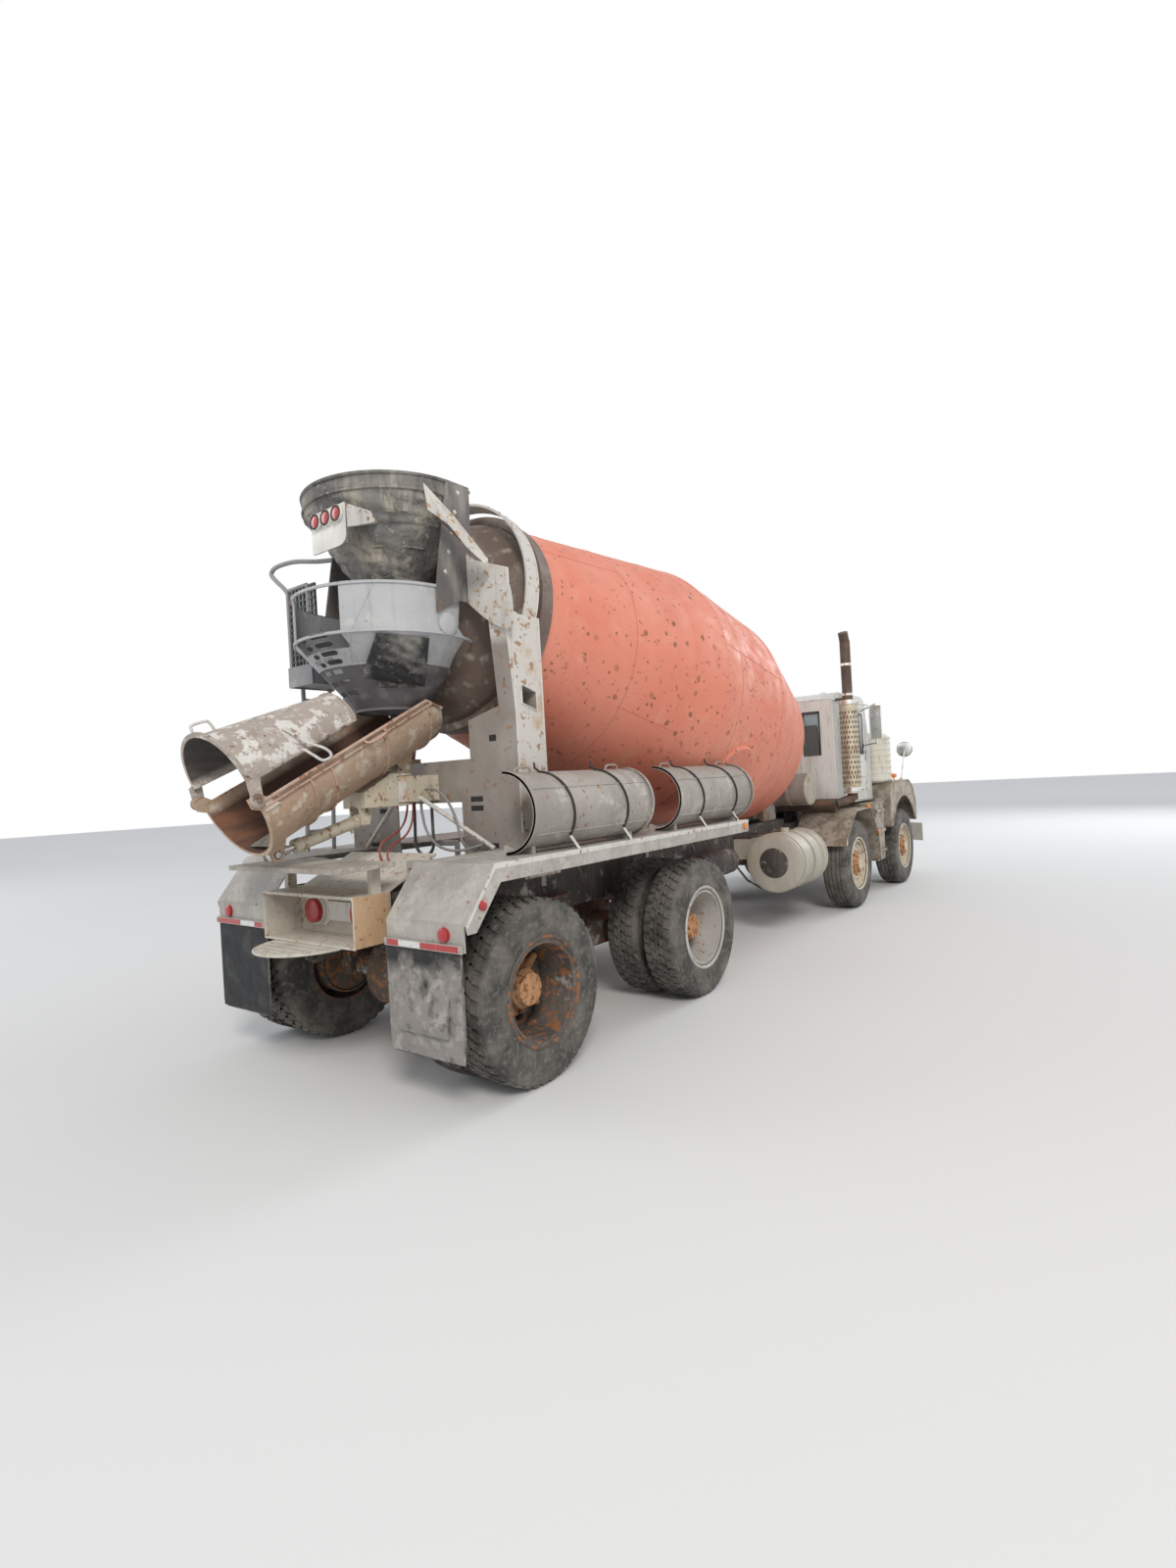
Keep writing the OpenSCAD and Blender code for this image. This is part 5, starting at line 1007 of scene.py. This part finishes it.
f.piece("blank_plate", "lamp_surround", bevel=1)
for out in f.sides():
    f.side_plate([(-699, 842), (-446, 842), (-446, 1124), (-699, 1124)], (450.1, 452))
f.piece("lamp_box_sides", "ochre_side")
f.surround(-700, -448, -700, 448, 842, 1123, 7)
STEP_X, STEP_R = -690, 300
f.tube([at(STEP_X + STEP_R * math.cos(a), STEP_R * math.sin(a), 834)
        for a in (math.radians(degrees) for degrees in range(90, 271, 6))], 9)
for x in range(0, 241, 60):
    half = math.sqrt((STEP_R - 10) ** 2 - x ** 2)
    f.tube([(STEP_X - x, -half, 841.5), (STEP_X - x, half, 841.5)], 3.5, 6)
f.piece("lamp_box_edges", "deck_paint")

# ---------------------------------------------------------------- rear fenders and spare chutes
FENDER_Y, FENDER_TOP = 1220, 1288.5
for out in f.sides():
    f.side_plate([(-372, 1262), (2726, 1262), (2726, 1290.5), (-376, 1290.5), (-601, 1006), (-592, 992)],
                 (FENDER_Y, FENDER_Y + 1.8))
    f.bolts((-250, FENDER_Y + 1.8, 1276), (2650, FENDER_Y + 1.8, 1276), 18, out, 7, 5)
    f.box((-372, 2726), (1196, 1221), (FENDER_TOP, 1291))
f.piece("fender_edges", "white_edge")


def fender_crust(name, side_name, start, end, thick, cell, seed, share):
    """Concrete on a fender between two places of (x, z)."""
    (x0, z0), (x1, z1), (y0, y1) = start, end, (-1190, -620) if side_name == "right" else (620, 1190)
    crust(f"{name}_{side_name}", [(x0, y0, z0), (x1, y0, z1), (x1, y1, z1), (x0, y1, z0)], "fender_paint", None,
          (1, thick), cell, seed + SIDES[side_name], share)


# The extension chutes keep the right fender clear but for its rear end
for k, side_name, x0, x1 in ((0, "right", -370, 260), (0, "left", -370, 260), (1, "left", 640, 1700),
                             (2, "left", 1700, 2715)):
    fender_crust(f"fender_crust_{k}", side_name, (x0, FENDER_TOP), (x1, FENDER_TOP), 14, 0.03, 41 + k * 2, 0.15)
for side_name in SIDES:
    fender_crust("fender_slant", side_name, (-596, 1012), (-384, 1281), 16, 0.02, 51, 0.3)
for name, look, x, z, profile in (
        ("amber_markers", "amber_lens", 2650, 1240, [(30, 0), (30, 8), (22, 16), (0, 18)]),
        ("red_markers", "red_lens", -480, 1090, [(26, 0), (26, 8), (18, 14), (0, 16)])):
    for out in f.sides():
        f.revolve((x, FENDER_Y + 1.8, z), out, profile, 28)
    f.piece(name, look)
for out in f.sides():
    for x in (1000, 1020):
        f.tube([(x, 640, 1275), (x, 1190, 1275)], 12)
    f.tube([(-300, 1180, 1272), (2700, 1180, 1272)], 10)
f.piece("fender_stays", "frame_steel")

# The two extension chutes: their ends, their axis, and their turn from facing right up to an edge
SPARE_X, SPARE_Y, SPARE_Z, SPARE_R = (-60, 1560), -1010, 1535, 225
QUARTER = math.pi / 2
GRIP = [(0, -2), (4, 16), (16, 30), (40, 34), (104, 34), (128, 30), (140, 16), (144, -2)]


def spare_skin(x, a, lift=0.0):
    """A place on the trough's outside. Turn 0 faces right and a quarter turn up is its top edge."""
    r = SPARE_R + lift
    return at(x, SPARE_Y - r * math.cos(a), SPARE_Z + r * math.sin(a))


for x in SPARE_X:
    for s in (0, 1225):
        f.band((x, SPARE_Y, SPARE_Z), X, 224, 240, s, s + 25, 40, turn=(-0.25, 0.25), closed=True)
    # Creases along the trough, where its floor meets its sides, and bent lips at its edges
    for a, lift, r, count in ((-0.62, 1, 6, 6), (0.62, 1, 6, 6), (-QUARTER, -4, 9, 8), (QUARTER, -4, 9, 8)):
        f.tube([spare_skin(x + s, a, lift) for s in (26, 1224)], r, count)
f.piece("spare_rims", "chute_grey", bevel=1)
for x in SPARE_X:
    for s in (90, 1000):
        f.tube([spare_skin(x + s + dx, QUARTER - 0.06, lift) for dx, lift in GRIP], 7, smooth=3)
f.piece("spare_handles", "chute_grey")
# Each strap leans along the trough as it goes round, and ends at a prop's foot
STRAP_LEAN = 34
STRAPS = [(x + s, spare_skin(x + s + STRAP_LEAN * 1.66, -0.76, 8)) for x in SPARE_X for s in (330, 900)]
for x, foot in STRAPS:
    turns = [1.5 - 0.28 * i for i in range(9)]
    f.tube([spare_skin(x + STRAP_LEAN * (0.9 - a), a, 7) for a in turns], 8, 6, smooth=3)
    f.tube([spare_skin(x - 20, 1.5, 7), spare_skin(x - 24, 1.62, 30), spare_skin(x - 14, 1.66, 62)], 7, 6)
    f.tube([foot, (x + 92, -1196, 1296)], 5, 6)
f.piece("spare_straps", "strap_rubber")
for x, foot in STRAPS:
    f.prism([foot - X * 0.014, foot + X * 0.014, (x + 106, -1213, 1291), (x + 78, -1213, 1291)], Y * -0.004)
f.piece("spare_props", "white_edge", bevel=1.5)


# ---------------------------------------------------------------- discharge chutes
def slope_frame(x, z, slope):
    """A chute that climbs forwards: what gives a place by its own axes, and its direction."""
    a, origin = math.radians(slope), at(x, 0, z)
    ahead, up = Vector((math.cos(a), 0, math.sin(a))), Vector((-math.sin(a), 0, math.cos(a)))
    return lambda x, y, z: origin + ahead * (x / 1000) + Y * (f.side * y / 1000) + up * (z / 1000), ahead


main, main_ahead = slope_frame(-1106.2, 1632.7, 27)
fold, fold_ahead = slope_frame(-1133.4, 1686.2, 25.5)
for out in f.sides():
    # The lip follows the corner that clears the drum
    f.tube([main(12, 288, 38), main(1316, 288, 38), main(1412, 288, -58)], 10)
    f.tube([main(12, 290, 4), main(1350, 290, 4)], 6, 6)
    f.revolve(main(0, 290, 60), out, [(0, 0), (34, 0), (34, 16), (26, 22), (0, 22)], 24)
    f.bolt(main(0, 290, 60) + out * 0.022, out, 14, 12)
    f.tube([main(760, 290, 26), main(766, 312, 10), main(840, 320, 2), main(914, 312, 10), main(920, 290, 26)], 8,
           smooth=5)
for x in (480, 900, 1300):
    f.band(main(x, 0, 0), main_ahead, 278.3, 290, 0, 10, 40, turn=(0.0, 0.5), closed=True)
f.piece("main_chute_trim", "chute_lip", "chute", bevel=1)
crust("main_chute_crust", [main(x, y, -246) for x, y in ((40, -120), (1380, -120), (1380, 120), (40, 120))],
      "crusted_steel", "rusty_chute", (1, 16), 0.03, 61, 0.3, "chute")
for out in f.sides():
    f.tube([fold(14, 284, 96), fold(846, 181, 96)], 8)
    f.revolve(fold(-2, 311, 2), out, [(0, 0), (36, 0), (36, 10), (28, 16), (0, 16)], 24)
    f.bolt(fold(-2, 311, 2) + out * 0.016, out, 15, 13)
f.band(fold(10, 0, 105), fold_ahead, 279, 296, 3, 20, 48, turn=(0.5, 1.0), closed=True)
f.piece("fold_chute_trim", "fold_rim", "fold", bevel=1)


def fold_skin(x, lift, turn):
    """A place on the flip-over chute's round back. Turn 0 is its top, and it goes round to the left."""
    r = 278 - (278 - 175) * x / 850 + lift
    return fold(x, r * math.sin(turn), 105 + r * math.cos(turn))


# A long bent rod on the right side, and a short handle at the outer end
f.tube([fold_skin(372, -2, -0.96), fold_skin(380, 14, -1.0), fold(430, -262, 135), fold(480, -306, 75),
        fold(505, -312, 30), fold(490, -312, 8), fold(440, -312, 16), fold(412, -300, 60), fold(402, -262, 98),
        fold(400, -228, 104)], 8, smooth=6)
FOLD_GRIP = [(0, -2), (2, 40), (16, 58), (90, 58), (106, 40), (110, -2)]
for x0, turn in ((34, 0.1), (420, 0.9)):
    f.tube([fold_skin(x0 + dx, lift, turn) for dx, lift in FOLD_GRIP], 8, smooth=6)
f.piece("fold_chute_grips", "white_edge", "fold")

# The lift cylinder and the swing post
BARREL_R, ROD_R = 38.3, 20.4
base, eye = at(-290, 0, 1530), at(-880, 0, 1375)
stroke, length = (eye - base).normalized(), (eye - base).length * 1000
f.band(base, stroke, BARREL_R, 43, 40, 62)
f.revolve(base, stroke, [(BARREL_R, length - 175), (44, length - 175), (44, length - 131), (40, length - 128),
                         (BARREL_R, length - 128)], 32)
side, up = across(stroke)
for s in (80, length - 195):
    place = base + stroke * (s / 1000)
    f.band(place + up * 0.036, up, 0, 13, 0, 14, 16)
    f.band(place + up * 0.050, up, 0, 10, 0, 12, 6)
f.piece("ram_fittings", "swing_paint", body="barrel")
f.revolve(base, stroke, [(ROD_R, length - 90), (27, length - 90), (31, length - 60), (31, length - 52),
                         (ROD_R, length - 52)], 28)
f.piece("rod_collar", "rod_chrome", body="rod")
for z in (1600, 1812):
    f.revolve((0, 0, z), Z, [(46, 0), (74, 0), (74, 12), (66, 16), (46, 16)], 36)
for out in f.sides():
    f.bolt((40, 66, 1850), out, 20, 16)
    f.bolt((-290, 48, 1530), out, 16, 12)
f.piece("post_collars", "swing_paint", body="swing")

# ---------------------------------------------------------------- tanks and things along the frame
TANK = (3930, 925, 765)
for out in f.sides():
    for s in (95, 360, 625):
        f.band(TANK, X, 291, 300, s - 22, s + 22, 64)
    for s, way in ((0, -1), (720, 1)):
        f.revolve(TANK, X, [(r, s + way * h) for r, h in ((290, 0), (286, 8), (262, 16), (200, 20), (0, 20))], 64)
f.piece("tank_ends", "tank_aluminium")
for out in f.sides():
    for x in (4060, 4500):
        f.tube([(x, 430, 1010), (x, 600, 1010), (x, 820, 1046), (x, 925, 1062)], 12)
        f.tube([(x, 430, 720), (x, 560, 560), (x, 700, 490), (x, 925, 469)], 12)
    f.revolve(TANK, X, [(0, -21.5), (150, -21.5), (152, -20), (0, -19)], 40)
f.piece("tank_stays", "frame_steel")
for f.side, x0 in ((-1, 2950), (1, 2950), (1, 4900)):
    tank = (x0, 590, 830)
    f.revolve(tank, X, [(0, -40), (70, -34), (118, -12), (125, 0), (125, 620), (118, 632), (70, 654), (0, 660)], 40)
    for s in (120, 500):
        f.band(tank, X, 125.3, 129, s - 18, s + 18, 40)
        f.box((x0 + s - 18, x0 + s + 18), (430, 500), (800, 860))
f.piece("air_tanks", "frame_steel")
f.box((4900, 5330), (-900, -470), (640, 1000))
for x in (4960, 5110, 5260):
    f.box((x, x + 16), (-904, -470), (636, 1004))
f.tube([(4900, -903, 960), (5330, -903, 960)], 9)
f.box((4920, 5300), (-560, -430), (700, 960))
f.piece("battery_box", "tread_plate", bevel=4)
rng = random.Random(5)
for y in range(-300, 301, 120):
    f.tube([(-300, y, 1060)] + [(x, y + rng.uniform(-20, 20), z) for x, z in
                                ((600, 1070), (2000, 1045), (3600, 1062), (5200, 1050))], 10, 6, smooth=6)
f.piece("frame_lines", "seal_rubber")
shaft_start, shaft = at(2060, 0, 640), Vector((4940, 0, 260))
f.rod(shaft_start, (7000, 0, 900), 55, 24)
for s in (2080, 4500, 6970):
    f.revolve((s, 0, 640 + 260 * (s - 2060) / 4940), shaft,
              [(0, -45), (95, -40), (95, -20), (62, -10), (62, 10), (95, 20), (95, 40), (0, 45)], 24)
f.piece("drive_shaft", "axle_iron")
RAIL_Y = 430.3
for out in f.sides():
    for x in range(-350, 8900, 350):
        for z in (800, 990):
            f.bolt((x, RAIL_Y, z), out, 10, 8)
    for x in (726, 846, 1066, 1186):
        f.bolt((x, RAIL_Y, 880), out, 15, 12)
f.piece("frame_bolts", "frame_steel")
for x in (0, 1913):
    for out in f.sides():
        f.revolve((x + 190, 420, 640), X + Z * 0.25,
                  [(0, 0), (60, 0), (82, 24), (88, 60), (96, 62), (96, 74), (88, 76), (80, 120), (50, 140), (0, 142)], 28)
        f.rod((x + 60, 420, 600), (x + 195, 420, 642), 9)
f.piece("brake_chambers", "axle_iron")

# ---------------------------------------------------------------- cab
CAB_Y, CAB_BACK = 962, 5797
for side_name, f.side in SIDES.items():
    body, out = f"door_{side_name}", Y * f.side
    f.surround(6220, CAB_Y, 6950, CAB_Y, 1850, 2370, 9)
    f.tube([(6770, CAB_Y, 1850), (6770, CAB_Y, 2370)], 7, 6)
    f.piece(f"door_seal_{side_name}", "seal_rubber", body)
    f.box((6215, 6955), (941, 946), (1845, 2375))
    f.piece(f"door_glass_{side_name}", "window_glass", body=body)
    f.revolve((6300, CAB_Y, 1740), out, [(0, 0), (34, 0), (34, 6), (26, 10), (0, 10)], 24)
    f.tube([(6290, CAB_Y, 1740), (6290, CAB_Y + 34, 1740), (6330, CAB_Y + 42, 1738), (6430, CAB_Y + 40, 1736),
            (6440, CAB_Y + 30, 1736)], 9, smooth=5)
    for z, r in ((1560, 8), (1400, 5)):
        f.tube([(6200, CAB_Y + 4, z), (6980, CAB_Y + 4, z)], r, 6)
    f.piece(f"door_trim_{side_name}", "trim_metal", body)
for out in f.sides():
    # Rain gutter and panel seams
    f.tube([(5805, CAB_Y, 2512), (7270, CAB_Y, 2512), (7275, 900, 2518)], 11, 6)
    f.tube([(5806, CAB_Y, 1262), (7270, CAB_Y, 1262)], 9, 6)
    for x, y, z0, z1, r in ((5803, 960, 1260, 2500, 8), (6095, CAB_Y, 1270, 2490, 4), (7085, CAB_Y, 1270, 2490, 4),
                            (CAB_BACK, 560, 1262, 2500, 5)):
        f.tube([(x, y, z0), (x, y, z1)], r, 6)
    for y in (150, 300):
        f.box((5793, 5800), (y - 12, y + 12), (1330, 1850))
f.tube([(5803, -955, 2520), (5803, 955, 2520)], 9, 6)
f.revolve((6500, 0, 2600), Z, [(150, 0), (156, 14), (140, 30), (0, 36)], 32)
f.piece("cab_seams", "cab_paint")
f.surround(CAB_BACK, -350, CAB_BACK, 350, 1950, 2400, 11)
for out in f.sides():
    f.surround(CAB_BACK, 600, CAB_BACK, 800, 1850, 2380, 10)
f.piece("cab_window_seals", "seal_rubber")
for y in (-700, -240, 0, 240, 700):
    f.revolve((7120, y, 2560), Z, [(34, -40), (34, 14), (26, 34), (0, 42)], 20)
f.piece("roof_lamps", "amber_lens")
for y in (-430, 430):
    f.revolve((6700, y, 2668), X, [(12, 0), (14, 240), (22, 300), (48, 350), (70, 372), (66, 374), (0, 330)], 28)
    for x in (6760, 6900):
        f.rod((x, y, 2590), (x, y, 2668), 9)
f.piece("roof_horns", "mirror_metal")
for y in (-420, 360):
    f.tube([(7292, y, 1925), (7312, y + 20, 1950), (7308, y + 160, 2120), (7300, y + 300, 2270)], 7, 6, smooth=5)
    f.tube([(7304, y + 160, 2060), (7296, y + 380, 2400)], 6, 6)
f.piece("wipers", "seal_rubber")
DOOR_FOOT = 1258  # what stands on the steps stays below the doors, which swing over it
for out in f.sides():
    for z in (560, 820, 1080):
        f.box((6700, 7050), (1150, 1166), (z, z + 16))
        f.box((6700, 7050), (1166, 1174), (z, z + 40))
        for x in range(6712, 7003, 58):
            f.box((x, x + 34), (1150.2, 1150.9), (z + 40, min(z + 200, DOOR_FOOT)))
    f.tube([(6690, 1152, 1202), (7060, 1152, 1202)], 7, 6)
f.piece("cab_steps", "tread_plate", bevel=1)
MARK = 15 / 1000  # half the length of a mark in the tread plate
for out in f.sides():
    for i in range(9):
        for j in range(12):
            u = (X + Y).normalized() if (i + j) % 2 else (X - Y).normalized()
            w, place = u.cross(Z), f.to((6710 + i * 40, 715 + j * 38, 1200.2))
            foot = [place - u * MARK, place + w * MARK / 3.6, place + u * MARK, place - w * MARK / 3.6]
            f.lump([p.lerp(place, 0.2) + Z * 0.0018 for p in foot], foot)
f.piece("step_tread", "tread_plate", angle=20)

# ---------------------------------------------------------------- hood, fenders, mirrors
for out in f.sides():
    f.tube([(7330, 521, 1070), (8850, 521, 1070)], 7, 6)
    f.tube([(7310, 521, 1560), (8860, 521, 1500)], 8, 6)
    f.tube([(7310, 515, 1060), (7310, 515, 1900)], 7, 6)
    for x0 in (7480, 7900):
        for x in range(x0, x0 + 205, 34):
            f.box((x, x + 18), (520, 529), (1180, 1380))
    f.box((7318, 7372), (520, 538), (1440, 1520))
f.tube([(7330, 0, 1928), (8200, 0, 1872), (8760, 0, 1812)], 8, 6)
f.piece("hood_trim", "cab_paint", body="hood", bevel=1)
for out in f.sides():
    f.tube([(7350, 540, 1500), (7350, 544, 1420), (7350, 532, 1340)], 8)
    f.rod((7350, 522, 1505), (7350, 545, 1505), 14)
f.piece("hood_latches", "strap_rubber", "hood")
HEADLAMP = (8760, 850, 1010)
for out in f.sides():
    f.revolve(HEADLAMP, X, [(90.3, -60), (98, -50), (99, 0), (94, 8), (88, 2)], 40)
f.piece("headlamp_rims", "mirror_metal")
for out in f.sides():
    f.revolve(HEADLAMP, X, [(89, 0), (84, 6), (50, 13), (0, 16)], 40)
f.piece("headlamp_glass", "clear_lens")
for out in f.sides():
    f.revolve((7700, 1140, 1470), Z, [(8, -4), (8, 30), (34, 34), (40, 60), (34, 84), (0, 92)], 24)
    f.revolve((6300, 1180, 1176), Z, [(32, -2), (34, 6), (26, 34), (0, 42)], 24)
    f.revolve((6620, 1201, 840), out, [(0, 0), (34, 0), (34, 10), (24, 18), (0, 20)], 24)
f.piece("fender_markers", "amber_lens")
HOOD_FENDER = ((7338, 852), (7338, 1327), (7464, 1463), (8337, 1453), (8555, 1354), (8693, 1118), (8693, 852))
CAB_FENDER = ((5358, 788), (5373, 868), (5749, 1164), (6336, 1172), (6626, 799), (6669, 484))
for out in f.sides():
    f.tube([(x, 1172, z) for x, z in HOOD_FENDER], 10)
    f.tube([(8033 + 660 * math.cos(a), 1172, 585 + 660 * math.sin(a))
            for a in (math.radians(24 + 5.5 * i) for i in range(25))], 9)
    f.tube([(x, 1200, z) for x, z in CAB_FENDER], 8)
    for (x0, z0), (x1, z1) in zip(CAB_FENDER[:4], CAB_FENDER[1:]):
        f.bolts((x0, 1196, z0 + 6), (x1, 1196, z1 + 6), 4, Z, 5, 3)
f.piece("fender_lips", "tread_plate")
for side_name, f.side in SIDES.items():
    body = f"door_{side_name}"
    f.prism([(6739, y, z) for y, z in ((1136, 2036), (1264, 2036), (1264, 2444), (1136, 2444))], X * -0.002)
    f.piece(f"mirror_glass_{side_name}", "mirror_metal", body=body)
    f.surround(6738, 1130, 6738, 1270, 2030, 2450, 7, 8)
    for z in (2120, 2360):
        f.tube([(6784, 1130, z), (6784, 1270, z)], 9)
    f.piece(f"mirror_frame_{side_name}", "mirror_metal", body=body)
for out in f.sides():
    f.revolve((8600, 1080, 1900), -X, [(104, 0), (111, 0), (112, -10), (104, -14)], 36, closed=True)
f.piece("round_mirror_rims", "mirror_metal")
for out in f.sides():
    f.revolve((8599, 1080, 1900), -X, [(104, 0), (70, 10), (0, 15)], 36)
f.piece("round_mirror_glass", "mirror_metal")
for y in (-560, 560):
    f.revolve((9151, y, 640), X, [(0, 0), (66, 0), (70, 6), (62, 14), (0, 20)], 28)
f.piece("bumper_lamps", "clear_lens")
for z in (720, 545):
    f.bolts((9150.5, -780, z), (9150.5, 780, z), 6, X, 12, 9)
for z in (768, 502):
    f.tube([(9148, -850, z), (9148, 850, z)], 8)
f.piece("bumper_bolts", "bumper_paint")

# ---------------------------------------------------------------- exhaust and air cleaner
stack = at(5950, -1110, 0)
for z in (1.392, 2.440):
    f.band(stack + Z * z, Z, 105.3, 111, 0, 46, 40)
    f.band(stack + Z * (z + 0.02) - Y * 0.11, -Y, 0, 16, 0, 24, 12)
for z in (2.540, 2.900):
    f.revolve(stack + Z * z, Z, [(60.3, 0), (66, 4), (66, 30), (60.3, 34)], 36)
f.piece("stack_clamps", "mirror_metal")
for row in range(15):
    for out in rays(18, X, Y, 0.5 * (row % 2)):
        side, p = Vector((-out.y, out.x, 0)), stack + out * 0.1053 + Z * ((1500 + row * 60) / 1000)
        f.prism([p + side * a + Z * b for a, b in ((-0.008, -0.012), (-0.008, 0.012), (0, 0.019), (0.008, 0.012),
                                                   (0.008, -0.012), (0, -0.019))], out * 0.0007)
f.piece("shield_holes", "exhaust_steel")
cleaner = at(7520, -950, 0)
for z in range(1478, 1971, 82):
    f.revolve(cleaner + Z * z / 1000, Z, [(200.2, 0), (207, 8), (207, 34), (200.2, 42)], 64)
f.revolve(cleaner + Z * 2.05, Z, [(201, -14), (212, -8), (212, 10), (196, 34), (120, 74), (60, 88), (0, 92)], 48)
f.revolve(cleaner + Z * 1.47, -Z, [(200, 0), (150, 24), (60, 36), (0, 36)], 48)
for way in (-1, 1):
    f.tube([cleaner + Vector((way * x, y, z)) for x, y, z in ((0.2, 0, 1.62), (0.2, 0.12, 1.62), (0.08, 0.43, 1.6))], 14)
f.piece("cleaner_bands", "cleaner_paint")

# ---------------------------------------------------------------- light and floor
# What the camera, mirrors and glass see is white, and what lights the truck is dimmer and a little blue
world = bpy.data.worlds.new("studio")
world.use_nodes = True
scene.world = world
tree = world.node_tree
path = tree.nodes.new("ShaderNodeLightPath").outputs
seen = path["Is Camera Ray"]
for ray_kind in ("Is Glossy Ray", "Is Transmission Ray"):
    seen = add_node(tree, "Math", {0: seen, 1: path[ray_kind]}, operation="MAXIMUM")
back = tree.nodes["Background"]
feed(tree, back, {"Strength": 0.55, "Color": (0.92, 0.95, 1.0, 1)})
white = add_node(tree, "Background", {"Strength": 1.0, "Color": (1, 1, 1, 1)})
mix = add_node(tree, "MixShader", {"Fac": seen, 1: back.outputs["Background"], 2: white})
feed(tree, tree.nodes["World Output"], {"Surface": mix})
for name, place, aim, size, power, color in (
        ("key", (-16, -14, 15), (-1, 0, 1.5), 7, 2600, (1.0, 0.96, 0.9)),
        ("fill", (-12, 16, 9), (-1, 0, 1.5), 12, 700, (0.9, 0.95, 1.0)),
        ("front", (16, -6, 10), (1, 0, 1.5), 10, 900, (0.95, 0.97, 1.0))):
    light = bpy.data.lights.new(name, "AREA")
    light.shape = "DISK"
    light.size = size
    light.energy = power
    light.color = color
    obj = link(bpy.data.objects.new(name, light))
    obj.location = place
    obj.rotation_euler = (Vector(aim) - Vector(place)).to_track_quat("-Z", "Y").to_euler()

ground = Look("floor_white", (800, 800, 790), 0.9)
far = ground.add("VectorMath", {0: ground.place}, "Value", operation="LENGTH")
ground.cover(ground.ramp(far, 10, 30), (1000, 1000, 1000))
f.face(f.verts(ray * 60 for ray in rays(48, X, Y)))
mesh = bpy.data.meshes.new("floor")
f.bm.to_mesh(mesh)
f.bm.free()
mesh.materials.append(ground.mat)
floor = link(bpy.data.objects.new("floor", mesh))
